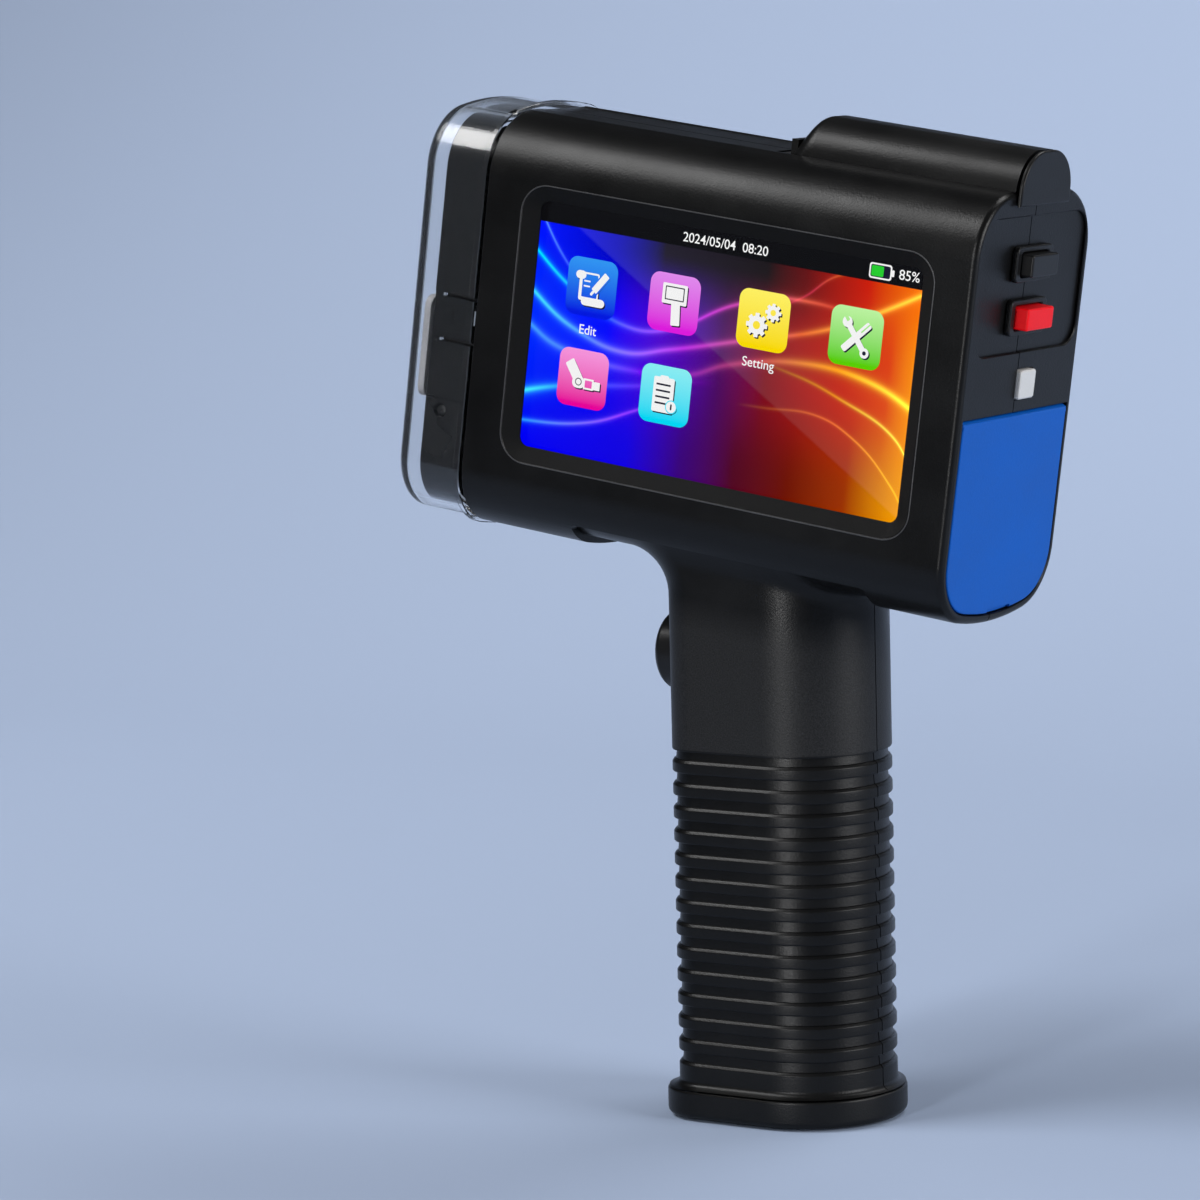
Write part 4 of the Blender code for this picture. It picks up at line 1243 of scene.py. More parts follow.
WRAP = Moulded("cell_wrap", (0.03, 0.19, 0.24), 0.28, 0.5, grain=600.0, depth=0.05, lift=0.12)
GUARD = Clear("guard_clear", (0.99, 0.99, 0.99), 0.02, 0.5, ior=1.34, frost=0.12)
GLASS = Clear("touch_glass", (1.0, 1.0, 1.0), 0.0, 0.3, ior=1.2, shade=0.05)
STEEL = Metal("steel", (0.58, 0.58, 0.59))
GOLD = Metal("gold_plate", (0.83, 0.6, 0.25))
BOARD = Laminate("board_green", (0.008, 0.09, 0.04), 0.35, 0.5)

KEPT = {
    SATIN: (
        *("cartridge_cradle", "cartridge_body", "cartridge_tab", "battery_holder", "lcd_module"),
        *("function_switch", "power_switch", "select_switch", "trigger_switch"),
        *("buzzer", "charge_socket", "port_panel"),
    ),
    STEEL: (
        *("cartridge_door_pin", "port_door_pin", "top_cover_pin"),
        *("usb_socket", "cartridge_spring"),
    ),
    GOLD: ("nozzle_plate",),
    BOARD: ("main_board", "button_board", "port_board", "contact_board"),
    WRAP: ("battery_cell_1", "battery_cell_2"),
    LABEL: ("cartridge_label",),
}


def fit(
    item: bpy.types.Object, finish: Finish, body: str, slot: str, *nodes: str, sharp: float = 32.0
) -> bpy.types.Object:
    """Cleans a piece, finishes it and enters it in the model.

    Args:
        item: The piece.
        finish: Its finish.
        body: The body that it rides on.
        slot: The record's material slot; not used.
        *nodes: The CAD nodes that it replaces.
        sharp: Angle in degrees from which an edge stays crisp.

    Returns:
        The piece.
    """
    settle(item, sharp)
    item.data.materials.clear()
    item.data.materials.append(finish.material())
    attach(item, body)
    if nodes:
        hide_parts(*nodes)
    log.info("%s rides on %s, %d faces", item.name, body, len(item.data.polygons))
    return item


# ------------------------------------------------------------------ housings


SCREWS = ((HEAD, 48.0, 36.2), (HEAD, -50.0, -38.0), (HEAD, 42.0, -38.5), (GRIP, 9.0, 94.0))
BEZEL_EDGE = Rounded(0, 0, 102.5, 60.8, 6.5, 10)
REAR_AXIS = (59.3, -4.5)
COVER_AXIS = (2.6, 43.2)
SIDE_AXIS = (34.4, 23.7)


@dataclass
class Housings:
    """The two shells of the head and the grip."""

    front: float = -60.5
    seam: float = -1.5
    gap: float = 0.3
    wall: float = 2.4
    rear_wall: float = 3.6
    grip_wall: float = 3.2
    rear_ease: float = 1.4
    saddle: float = 1.6
    ring_count: int = 14
    ring_top: float = 79.05
    ring_pitch: float = 5.127
    ring_face: float = 2.8
    ring_depth: float = 1.0
    neck_end: float = 81.1
    foot_line: float = 6.9
    foot: tuple[float, float, float] = (2.7, 2.3, 2.0)
    panel: Pair = (10.0, 38.8)
    panel_floor: float = 59.7
    window: tuple[float, ...] = (95.0, 53.9, 2.2)
    screen_face: float = 25.0
    key_holes: tuple[tuple[float, ...], ...] = (
        *((-0.6, 28.8, 14.2, 6.6), (-0.9, 17.6, 14.2, 6.6), (1.9, 3.0, 7.4, 6.8)),
    )
    trigger_way: tuple[Pair, ...] = (
        *((0, -40), (10.75, -40), (10.75, -19.28), (10.2, -18.7), (10.2, -5), (0, -5)),
    )
    trigger_height: float = 100.6
    boss: float = 3.6
    boss_reach: Pair = (21.2, 16.3)
    screw_well: float = 2.7
    grip_core: Pair = (5.0, 126.8)

    def head(self) -> bpy.types.Object:
        """Builds the head's outer form, rounded at both ends, with its sunk saddle.

        Returns:
            The form.
        """
        eased = REAR_FACE - self.rear_ease
        levels = [(0.5, self.front), (0.15, self.front + 0.15), (0.0, self.front + 0.5)]
        levels.append((0.0, eased))
        levels += [(1.3 * a, eased + self.rear_ease * b) for a, b in quarter(5, 1)]
        sections = [(HeadSection(inset), h) for inset, h in levels]
        body = Form(Plane.ACROSS, HEAD).loft(sections).piece("head_form")
        form = Form(Plane.LEVEL, HEAD).block((-33.0, -40.0, -60.0), (41.0, 40.0, -42.2))
        saddle = form.ball_edged(45, 1.2, 4).piece("saddle_tool")
        core = Form(Plane.ACROSS, HEAD).prism(HeadSection(self.saddle), -52, 52)
        shape(saddle, (Act.CUT, [core.piece("saddle_core")]))
        return shape(body, (Act.CUT, [saddle]))

    def handle(self) -> bpy.types.Object:
        """Builds the grip's outer form: flared foot, rings, plain neck and flared top.

        Returns:
            The form.
        """
        levels: list[tuple[Outline, float]] = []
        lowest = self.ring_top - (self.ring_count - 1) * self.ring_pitch - self.ring_face
        for i in range(7):
            share = i / 6
            lift = 0.85 * (1 - math.sqrt(1 - (1 - share) ** 2))
            height = self.foot_line + (lowest - 1.2 - self.foot_line) * share
            levels.append((GripSection(*[lift * most for most in self.foot]), height))
        for i in reversed(range(self.ring_count)):
            top = self.ring_top - i * self.ring_pitch
            face = top - self.ring_face
            above = (self.ring_pitch - self.ring_face + top) if i else self.neck_end
            ring = [(-0.16, face), (-0.04, face + 0.14), (0.0, face + 0.35), (0.0, top - 0.7)]
            ring += [(-0.08, top - 0.5), (-0.42, top - 0.02), (-0.6, top + 0.05)]
            ring += [(-0.82, top + 0.1), (-self.ring_depth, above - 0.08)]
            skipped = 3 if i == self.ring_count - 1 else 0
            levels += [(GripSection().grown(by), height) for by, height in ring[skipped:]]
        levels.append((GripSection().grown(-0.1), self.neck_end))
        levels.append((GripSection(), self.neck_end + 0.2))
        form = Form(Plane.LEVEL, GRIP)
        loops = [outline.draw(form.bm, height) for outline, height in levels]
        for depth in (10, 8.2, 6.8, 5.6, 4.5, 3.5, 2.6, 1.8, 1.1, 0.6, 0.2, -0.1, -8):
            loops.append(self.flared(form.bm, depth))
        return form.skin(loops).piece("grip_form")

    def flared(self, bm: bmesh.types.BMesh, depth: float) -> list[bmesh.types.BMEdge]:
        """Draws a level of the grip that runs parallel to the saddle's floor.

        Args:
            bm: The bmesh to draw in.
            depth: Distance below the floor.

        Returns:
            The new edges.
        """
        spread = []
        for radius in (9.0, 3.6):
            share = max(0.0, 1 - max(0.0, depth) / radius)
            spread.append(radius * (1 - math.sqrt(1 - share**2)))
        edges = GripSection(spread[0], spread[1], spread[1]).draw(bm, 0)
        section = HeadSection(self.saddle)
        for vert in {v for e in edges for v in e.verts}:
            floor = section.underside(vert.co.y) - math.sin(TILT) * vert.co.x
            vert.co.z = HEAD_ORIGIN.z + floor / math.cos(TILT) - depth
        return edges

    def screen_tool(self) -> bpy.types.Object:
        """Builds the cutter of the bezel's chamfer, its crisp outer edge and the window.

        Returns:
            The cutter.
        """
        inner, outer, face = Rounded(0, 0, *self.window, 10), BEZEL_EDGE, self.screen_face
        levels = [(inner, face - 4.0), (inner, face - 2.1), (outer.grown(-0.35), face - 0.2)]
        levels += [(outer, face - 0.12), (outer.grown(0.25), face + 0.02)]
        levels.append((outer.grown(0.25), face + 3))
        return Form(Plane.SIDE, HEAD).loft(levels).piece("screen_tool")

    def rear_tools(self) -> list[bpy.types.Object]:
        """Builds the cutters of the openings in the rear face.

        Returns:
            The cutters.
        """
        low, high = self.panel
        recess = Rounded(0.5, (low + high) / 2, 45, high - low, 5, 10)
        forms = [
            Form(Plane.ACROSS, HEAD).opening(DoorSection(1.9, -2.9), 58.4, REAR_FACE, 0.15),
            Form(Plane.ACROSS, HEAD).prism(DoorSection(3.5, -7.5), 50, 70),
            Form(Plane.ACROSS, HEAD).opening(recess, self.panel_floor, REAR_FACE, 0.25),
        ]
        for hole in self.key_holes:
            forms.append(Form(Plane.ACROSS, HEAD).prism(Rounded(*hole, 0.8, 5), 50, 70))
        hinge = [
            rod(HEAD, Plane.SIDE, REAR_AXIS, -half, half, radius)
            for half, radius in ((22.95, 1.6), (24.1, PIN_HOLE))
        ]
        return [form.piece("rear_tool") for form in forms] + hinge

    def top_tools(self) -> list[bpy.types.Object]:
        """Builds the cutters of the flat land along the top, the cover's well and its hinge.

        Returns:
            The cutters.
        """
        land = block((-70, -10.9, 44.0), (66, 10.7, 60), HEAD)
        well = block((16, -6.5, 30), (54, 8, 60), HEAD)
        slot = block((1.2, -8.9, 41.8), (6.8, 8.7, 60), HEAD)
        return [land, well, slot, rod(HEAD, Plane.SIDE, COVER_AXIS, -11.3, 11.5, 0.6)]

    def screws(self) -> tuple[list[bpy.types.Object], list[bpy.types.Object]]:
        """Builds the screws' bosses and the wells over their heads.

        Returns:
            The bosses and the wells.
        """
        bosses, wells = [], []
        for frame, *at in SCREWS:
            reach = self.boss_reach[frame is GRIP]
            bosses.append(rod(frame, Plane.SIDE, at, -reach, reach, self.boss))
            wells.append(rod(frame, Plane.SIDE, at, -30, -10, self.screw_well))
        return bosses, wells

    def build(self) -> None:
        """Joins the forms, hollows them and splits them at the seam."""
        body = shape(self.head(), (Act.JOIN, [self.handle()]))
        inner_end = REAR_FACE - self.rear_wall
        core = Form(Plane.ACROSS, HEAD).prism(HeadSection(self.wall), self.front - 3, inner_end)
        inside = GripSection().grown(-self.grip_wall)
        grip_core = Form(Plane.LEVEL, GRIP).prism(inside, *self.grip_core)
        at = (0, self.trigger_height)
        trigger = Form(Plane.ACROSS, GRIP).turned(self.trigger_way, at, 64)
        bosses, wells = self.screws()
        hollow = core.piece("core")
        shape(hollow, (Act.JOIN, [grip_core.piece("grip_core")]), (Act.CUT, bosses))
        tools = [hollow, trigger.piece("trigger_way"), self.screen_tool()]
        tools += [*self.rear_tools(), *self.top_tools()]
        doorway = block((-56, 5, -27), (36, 40, 39.4), HEAD)
        door_pin = rod(HEAD, Plane.LEVEL, SIDE_AXIS, -29, -22, PIN_HOLE)
        shape(body, (Act.CUT, [*tools, doorway, door_pin]))
        half_gap = self.gap / 2
        for name, low, high, cuts in (
            ("front", -60, self.seam - half_gap, []),
            ("rear", self.seam + half_gap, 60, [(Act.CUT, wells)]),
        ):
            half = linked(name + "_shell", body.data.copy())
            kept = block((-160, low, -20), (160, high, 260), GRIP)
            shape(half, (Act.KEEP, [kept]), *cuts)
            fit(half, GRIP_SKIN, "body", "housing", name + "_housing")
        bpy.data.objects.remove(body)


@dataclass
class CaseScrews:
    """The four case screws and the small one in the nose."""

    profile: tuple[Pair, ...] = (
        *((0, -11.75), (1.9, -11.7), (2.3, -11.4), (2.4, -10.3), (1.2, -10.3)),
        *((1.2, 11.6), (0.7, 12.5), (0, 12.5)),
    )
    small: tuple[Pair, ...] = ((0, 21.9), (1.1, 21.9), (1.1, 22.1), (0.85, 22.24), (0, 22.28))
    small_at: Pair = (-68.6, -22.9)
    cross: tuple[Pair, Pair] = ((2.6, 0.55), (0.55, 2.6))

    def build(self) -> None:
        """Makes each screw with a cross or a slot in its head."""
        for i, (frame, *at) in enumerate(SCREWS):
            item = Form(Plane.SIDE, frame).turned(self.profile, at, 32).piece(f"screw_{i + 1}")
            arms = [
                Form(Plane.SIDE, frame).prism(Rounded(*at, *arm, 0.1, 2), -13, -10.9).piece("arm")
                for arm in self.cross
            ]
            shape(item, (Act.CUT, arms))
            fit(item, STEEL, "body", "steel", f"case_screw_{i + 1}")
        item = Form(Plane.SIDE, HEAD).turned(self.small, self.small_at, 28).piece("nose_screw_head")
        arm = Form(Plane.SIDE, HEAD).prism(Rounded(*self.small_at, 1.4, 0.3, 0.05, 2), 22.08, 24)
        shape(item, (Act.CUT, [arm.piece("arm")]))
        fit(item, SATIN, "body", "satin_black", "nose_screw")


# ------------------------------------------------------------------ muzzle


@dataclass
class Muzzle:
    """The nose, the clear guard over it and the seal inside the guard."""

    nose: float = -73.0
    inset: float = 2.2
    guard: float = -78.0
    thick: float = 1.5
    gap: float = 0.3
    rim: float = -60.8
    tab: Pair = (-7.1, 3.1)
    nozzle: Pair = (3.25, -12.0)
    nose_round: float = 0.9
    guard_round: float = 2.2
    tongue: float = 2.9
    hollow: float = 5.0
    seal: tuple[float, ...] = (0, -9.8, 43.0, 22.6, 2.5, 8)

    def build(self) -> None:
        """Builds the three pieces."""
        self.build_nose()
        self.build_guard()
        seal = Form(Plane.ACROSS, HEAD).eased(Rounded(*self.seal), -75.9, -74.3, 0.3)
        fit(seal.piece("seal_pad"), SEAL, "guard", "seal", "nozzle_seal")

    def cap(
        self, inset: float, start: float, radius: float, steps: int, rest: Sequence[Pair]
    ) -> Form:
        """Builds a form across the head with a rounded front end.

        Args:
            inset: Its distance inside the head's section.
            start: Where its front end lies.
            radius: Radius of its front edge.
            steps: Facets of that edge.
            rest: Insets and places of its further levels.

        Returns:
            The form.
        """
        levels = [(inset + radius * (1 - b), start + radius * a) for a, b in quarter(steps)]
        sections = [(HeadSection(by), h) for by, h in (*levels, *rest)]
        return Form(Plane.ACROSS, HEAD).loft(sections)

    def build_nose(self) -> None:
        """The gloss nose with its snout, window, tab channels and groove."""
        inset, rim = self.inset, self.rim
        tongue = ((self.tongue, rim), (self.tongue, -54.0))
        rest = ((inset, rim - 0.15), (inset + 0.15, rim - 0.01), *tongue)
        nose = self.cap(inset, self.nose, self.nose_round, 5, rest).piece("nose_block")
        outline = Rounded(*self.nozzle, 25, 23, 2.0, 8)
        levels = [(outline.grown(-0.35), -74.0), (outline, -73.65), (outline, self.nose + 2)]
        snout = Form(Plane.ACROSS, HEAD).loft(levels)
        throat = Rounded(*self.nozzle, 17, 18, 1.5, 8)
        levels = [(Rounded(*self.nozzle, 19, 20, 2.3, 8), -74.5), (throat, -73.4), (throat, -50)]
        window = Form(Plane.ACROSS, HEAD).loft(levels)
        inside = HeadSection(self.hollow)
        hollow = Form(Plane.ACROSS, HEAD).prism(inside, self.nose + 3.0, -50)
        low, high = self.tab
        cuts = [hollow.piece("hollow"), window.piece("window")]
        for near, far in ((-30.0, -22.0), (22.0, 30.0)):
            cuts.append(block((-80, near, low), (rim - 0.4, far, high), HEAD))
        groove = block((-80, -30, -20.5), (-61.5, -22.3, -19.9), HEAD)
        screw_seat = rod(HEAD, Plane.SIDE, CaseScrews.small_at, 21.6, 30, 1.6)
        cuts += [groove, screw_seat]
        shape(nose, (Act.JOIN, [snout.piece("snout")]), (Act.CUT, cuts))
        fit(nose, NOSE, "body", "nose", "nose_frame")

    def build_guard(self) -> None:
        """The clear cap with its rim, slits and hooks."""
        inner, rim = self.inset - self.gap, self.rim
        outer = inner - self.thick
        rest = [(outer, rim - 1.75), (-0.5, rim - 1.5), (-0.7, rim - 1.3), (-0.7, rim - 0.2)]
        rest.append((-0.5, rim))
        guard = self.cap(outer, self.guard, self.guard_round, 5, rest).piece("guard_shell")
        wall = self.guard + 1.8
        hollow = self.cap(inner, wall, self.nose_round, 4, [(inner, rim + 5)])
        low, high = self.tab
        slits, hooks = [], []
        for side in (-1, 1):
            near = side * (HeadSection.half - inner)
            a, b = sorted((near - side * 0.5, near + side * 0.3))
            hooks.append(block((-67.5, a, -3.6), (-65.5, b, -0.4), HEAD))
            a, b = sorted((side * 20.0, side * 40.0))
            for v in (low - 0.2, high - 0.5):
                slits.append(block((-69.5, a, v), (-50, b, v + 0.7), HEAD))
        cut = (Act.CUT, [hollow.piece("guard_hollow")])
        shape(guard, cut, (Act.JOIN, hooks), (Act.CUT, slits))
        fit(guard, GUARD, "guard", "clear", "nozzle_guard", sharp=25)


# ------------------------------------------------------------------ screen


class Tone(Enum):
    """Which of a tile's colours a mark has."""

    WHITE = 0
    TILE = 1
    DARK = 2


@dataclass(frozen=True)
class Mark:
    """One flat stroke of an icon, as a round-cornered bar."""

    x: float
    y: float
    width: float
    height: float
    turn: float = 0.0
    radius: float = 0.12
    tone: Tone = Tone.WHITE

    def outline(self, at: Pair, shift: float = 0.0) -> Rounded:
        """The mark's outline on the screen.

        Args:
            at: The middle of its tile.
            shift: How far a shadow is moved to the right and down.

        Returns:
            The outline.
        """
        x, y = at[0] + self.x + shift, at[1] + self.y - shift
        return Rounded(x, y, self.width, self.height, self.radius, 4, self.turn)


def gear(x: float, y: float, radius: float) -> list[Mark]:
    """A gear wheel: four crossed bars under a disc, with a round hole.

    Args:
        x: Its middle across the tile.
        y: Its middle up the tile.
        radius: Radius of its disc.

    Returns:
        Its marks.
    """
    bars = [Mark(x, y, 2.6 * radius, 0.5 * radius, turn) for turn in (0.0, 45.0, 90.0, 135.0)]
    disc = Mark(x, y, 2 * radius, 2 * radius, 0.0, radius)
    hole = Mark(x, y, 0.9 * radius, 0.9 * radius, 0.0, 0.45 * radius, Tone.TILE)
    return [*bars, disc, hole]


SCROLL = (
    Mark(-0.7, 0.1, 5.0, 6.2, 0, 0.5),
    Mark(-0.5, 0.3, 3.9, 5.0, 0, 0.2, Tone.TILE),
    Mark(-2.9, 2.5, 2.6, 1.8, 0, 0.9),
    Mark(0.6, -3.1, 6.0, 1.8, 0, 0.9),
    Mark(-1.2, 1.3, 1.6, 0.35),
    Mark(-1.2, 0.2, 1.6, 0.35),
    Mark(1.9, 0.9, 6.2, 2.2, 52, 0.3, Tone.TILE),
    Mark(2.2, 1.3, 5.0, 1.5, 52, 0.2),
    Mark(0.3, -1.1, 1.2, 0.6, 52, 0.25),
)
GUN = (
    Mark(0, 2.0, 6.2, 4.4, 0, 0.3),
    Mark(0, 2.1, 4.8, 3.0, 0, 0.15, Tone.DARK),
    Mark(0, 2.1, 4.3, 2.5, 0, 0.1),
    Mark(0.6, -2.2, 2.2, 5.0, 4, 0.25),
)
GEARS = (*gear(-1.5, -1.2, 2.0), *gear(2.3, 2.0, 1.5))
TOOLS = (
    Mark(0.1, 0.1, 8.6, 1.5, 45, 0.4),
    Mark(2.2, 2.2, 2.8, 0.3, 45, 0.1, Tone.TILE),
    Mark(0, 0, 8.0, 1.3, -52, 0.5),
    Mark(-2.3, 3.0, 2.4, 2.4, 0, 1.2),
    Mark(-2.5, 3.9, 0.8, 1.6, 35, 0.2, Tone.TILE),
    Mark(2.4, -3.0, 2.2, 2.2, 0, 1.1),
    Mark(2.4, -3.0, 0.9, 0.9, 0, 0.45, Tone.DARK),
)
STICK = (
    Mark(-2.3, 1.4, 5.0, 2.4, -55, 0.3),
    Mark(-1.0, -0.9, 3.2, 2.6, 0, 1.2),
    Mark(-1.0, -0.8, 1.7, 1.7, 0, 0.85, Tone.DARK),
    Mark(-1.0, -0.8, 1.3, 1.3, 0, 0.65),
    Mark(1.6, -1.0, 2.6, 2.4, 0, 0.15),
    Mark(1.6, -1.0, 1.8, 1.6, 0, 0.1, Tone.TILE),
    Mark(3.6, -1.1, 1.9, 1.8, 0, 0.1),
)
CLIPBOARD = (
    Mark(-0.5, 0.0, 5.2, 7.6, 0, 0.4),
    Mark(-0.5, 3.7, 2.2, 1.0, 0, 0.4),
    *[Mark(-0.6, 2.2 - 1.35 * i, 3.6, 0.4, 0, 0.1, Tone.DARK) for i in range(4)],
    Mark(1.8, -2.3, 3.0, 3.0, 0, 1.5, Tone.TILE),
    Mark(1.8, -2.3, 2.5, 2.5, 0, 1.25),
    Mark(1.8, -2.3, 0.4, 1.3, 0, 0.2, Tone.DARK),
)

TILES = (
    ("edit_tile", (0.144, 0.319), (0.0, 0.008, 0.75), (0.03, 0.3, 0.9), SCROLL),
    ("gun_tile", (0.365, 0.319), (0.72, 0.01, 0.72), (0.75, 0.25, 0.85), GUN),
    ("gear_tile", (0.6, 0.319), (0.95, 0.7, 0.0), (1.0, 0.88, 0.12), GEARS),
    ("tool_tile", (0.838, 0.316), (0.1, 0.62, 0.0), (0.5, 0.9, 0.35), TOOLS),
    ("stick_tile", (0.144, 0.688), (0.8, 0.0, 0.32), (0.92, 0.3, 0.72), STICK),
    ("list_tile", (0.366, 0.688), (0.0, 0.68, 0.9), (0.25, 0.85, 0.9), CLIPBOARD),
)

WORDS = (
    ("date_text", "2024/05/04  08:20", (0.483, 0.05), 2.9),
    ("charge_text", "85%", (0.955, 0.045), 3.0),
    ("edit_text", "Edit", (0.144, 0.492), 2.9),
    ("setting_text", "Setting", (0.598, 0.492), 2.9),
)


@dataclass
class Screen:
    """The touch glass, the bezel round it and the lit picture behind it."""

    width: float = 95.0
    height: float = 53.9
    glass: float = 22.3
    picture: float = 20.98
    step: float = 0.02
    spacing: float = 0.6
    tile: float = 12.6
    shadow: float = 0.28

    def spot(self, u: float, w: float) -> Pair:
        """Millimetres from the middle for a place across and down the screen."""
        return (u - 0.5) * self.width, (0.5 - w) * self.height

    def lift(self, level: int) -> float:
        """Height of a level of the picture's stack."""
        return self.picture + level * self.step * self.spacing

    def build(self) -> None:
        """Builds the glass, the bezel's slope, the wallpaper, the status bar and the rest."""
        glass = Form(Plane.SIDE, HEAD).prism(Rounded(0, 0, 100, 58.6, 2.5, 6), 21.2, self.glass)
        fit(glass.piece("cover_glass"), GLASS, "body", "touch_glass", "touch_glass")
        self.bezel()
        panel = Rounded(0, 0, self.width + 2, self.height + 2, 0.5, 3)
        self.layer("wallpaper", [panel], 0, Wallpaper("screen_wallpaper", BLACK, 0.4))
        x, y = self.spot(0.5, 0.044)
        bar = Rounded(x, y + 0.5, self.width + 2, 0.088 * self.height + 1, 0.05, 2)
        self.layer("status_bar", [bar], 1, Lit("bar_black", (0.004, 0.004, 0.005)))
        white = Lit("screen_white", (0.9, 0.9, 0.9))
        dark = Lit("screen_dark", (0.01, 0.01, 0.03))
        for name, at, low, high, marks in TILES:
            spot = self.spot(*at)
            base = Rounded(*spot, self.tile, self.tile, 2.3, 8)
            colour = Lit(name, low, upper=high, base=spot[1] - 5.5, rise=11.5)
            self.layer(name, [base], 1, colour)
            shades = [m.outline(spot, self.shadow) for m in marks if m.tone is Tone.WHITE]
            self.layer(name + "_shade", shades, 2, dark)
            for i, mark in enumerate(marks):
                finish = {Tone.WHITE: white, Tone.TILE: colour, Tone.DARK: dark}[mark.tone]
                self.layer(f"{name}_mark_{i}", [mark.outline(spot)], 3 + i, finish)
        for name, words, at, size in WORDS:
            self.text(name, words, self.spot(*at), size, white)
        self.charge(white, dark)

    def bezel(self) -> None:
        """Builds the dark slope round the glass and a painted highlight: a light grey line round
        the slope's outer edge, which stands in for light caught on that edge.
        """
        inner = Rounded(0, 0, 94.96, 53.86, 2.18, 10)
        frame = Form(Plane.SIDE, HEAD).prism(BEZEL_EDGE.grown(-0.3), 22.6, 24.86)
        slope = [(inner, 20.0), (inner, 22.96), (BEZEL_EDGE.grown(-0.4), 24.84), (BEZEL_EDGE, 25.2)]
        tool = Form(Plane.SIDE, HEAD).loft(slope).piece("slope")
        skin = shape(frame.piece("bezel_slope"), (Act.CUT, [tool]))
        fit(skin, BEZEL, "body", "satin_black")
        # Painted highlight: a light grey ring along the bezel's outer edge.
        line = Form(Plane.SIDE, HEAD).eased(BEZEL_EDGE.grown(0.16), 24.7, 25.04, 0.1)
        hole = Form(Plane.SIDE, HEAD).prism(BEZEL_EDGE.grown(-0.1), 24, 26)
        ring = shape(line.piece("bezel_highlight_line"), (Act.CUT, [hole.piece("hole")]))
        fit(ring, EDGE_HIGHLIGHT, "body", "satin_black")

    def charge(self, white: Lit, dark: Lit) -> None:
        """Adds the battery sign to the status bar.

        Args:
            white: Colour of its case.
            dark: Colour inside the case.
        """
        x, y = self.spot(0.882, 0.045)
        green = Lit("charge_green", (0.02, 0.6, 0.03))
        for name, outline, level, finish in (
            ("case", Rounded(x, y, 5.4, 3.3, 0.6, 4), 2, white),
            ("tip", Rounded(x + 3.0, y, 0.6, 1.4, 0.2, 3), 2, white),
            ("well", Rounded(x, y, 4.7, 2.6, 0.4, 4), 3, dark),
            ("level", Rounded(x - 0.7, y, 2.9, 2.2, 0.3, 4), 4, green),
        ):
            self.layer("charge_" + name, [outline], level, finish)

    def layer(self, name: str, outlines: Sequence[Outline], level: int, finish: Finish) -> None:
        """Adds flat shapes to the picture.

        Args:
            name: Name of the piece.
            outlines: Its shapes.
            level: Its place in the stack.
            finish: Its colour.
        """
        form, top = Form(Plane.SIDE, HEAD), self.lift(level)
        for outline in outlines:
            form.prism(outline, top - self.step, top)
        fit(form.piece(name), finish, "body", "display")

    def text(self, name: str, words: str, at: Pair, size: float, finish: Finish) -> None:
        """Adds a word as a thin mesh.

        Args:
            name: Name of the piece.
            words: What it says.
            at: Its middle, in millimetres.
            size: Height of the type.
            finish: Its colour.
        """
        curve = bpy.data.curves.new(name, "FONT")
        curve.body, curve.size = words, size
        curve.align_x = curve.align_y = "CENTER"
        curve.extrude, curve.offset = self.step / 2, 0.01
        place = HEAD @ Plane.SIDE.value @ Matrix.Translation((*at, self.lift(4)))
        fit(from_curve(name, curve, place), finish, "body", "display")


# ------------------------------------------------------------------ covers and keys


@dataclass
class TopCover:
    """The arched cover with its hinge edge, and its end plate."""

    end: float = 60.2
    top: float = 52.6
    base: float = 30.0
    wall: float = 1.8
    seat: float = 44.15
    plate_base: float = 41.2
    plate_ease: float = 0.45
    ramp: tuple[Pair, ...] = (
        *((2.8, 43.5), (3.6, 44.6), (5.9, 47.75), (8.2, 50.9), (8.6, 51.35)),
        *((9.0, 51.75), (9.4, 52.07), (9.8, 52.3), (10.3, 52.5), (10.9, 52.6)),
    )

    def solid(self, inset: float, end: float) -> bpy.types.Object:
        """The arch with its sloping front.

        Args:
            inset: How far inside the cover's skin it lies.
            end: Where it stops at the rear.

        Returns:
            The solid.
        """
        levels = [(Arch(inset, top, self.base), h + inset * 1.3) for h, top in self.ramp]
        levels.append((Arch(inset, self.top, self.base), end))
        return Form(Plane.ACROSS, HEAD).loft(levels).piece("arch")

    def build(self) -> None:
        """Builds the cover and its end plate."""
        cover = self.solid(0.0, 70.0)
        h, v = COVER_AXIS
        web = Form(Plane.SIDE, HEAD).prism(Rounded(h + 1.75, v + 0.05, 3.5, 1.2, 0.1, 2), -8.4, 8.6)
        post = block((h + 2.0, -8.6, 42.6), (h + 3.6, 8.4, 47.2), HEAD)
        shape(
            cover,
            (Act.CUT, [self.solid(self.wall, 72.0)]),
            (Act.CUT, [block((-20, -30, 20), (80, 30, self.seat), HEAD)]),
            (Act.KEEP, [block((-1, -20, 38), (self.end, 20, 60), HEAD)]),
            (Act.JOIN, [web.piece("web"), post]),
            (Act.JOIN, [rod(HEAD, Plane.SIDE, COVER_AXIS, -8.4, 8.6, 0.75)]),
            (Act.CUT, [rod(HEAD, Plane.SIDE, COVER_AXIS, -20, 20, 0.55)]),
        )
        fit(cover, HOUSING, "lid", "housing", "top_cover")
        levels = [(Arch(0.25, self.top, 41.5), 60.8), (Arch(0.0, self.top, self.plate_base), 61.0)]
        for a, b in quarter(3):
            inset = self.plate_ease * a
            section = Arch(inset, self.top, self.plate_base + inset)
            levels.append((section, 61.35 + self.plate_ease * b))
        plate = Form(Plane.ACROSS, HEAD).loft(levels).piece("cover_end_plate")
        fit(plate, HOUSING, "lid", "housing", "top_cover_end")


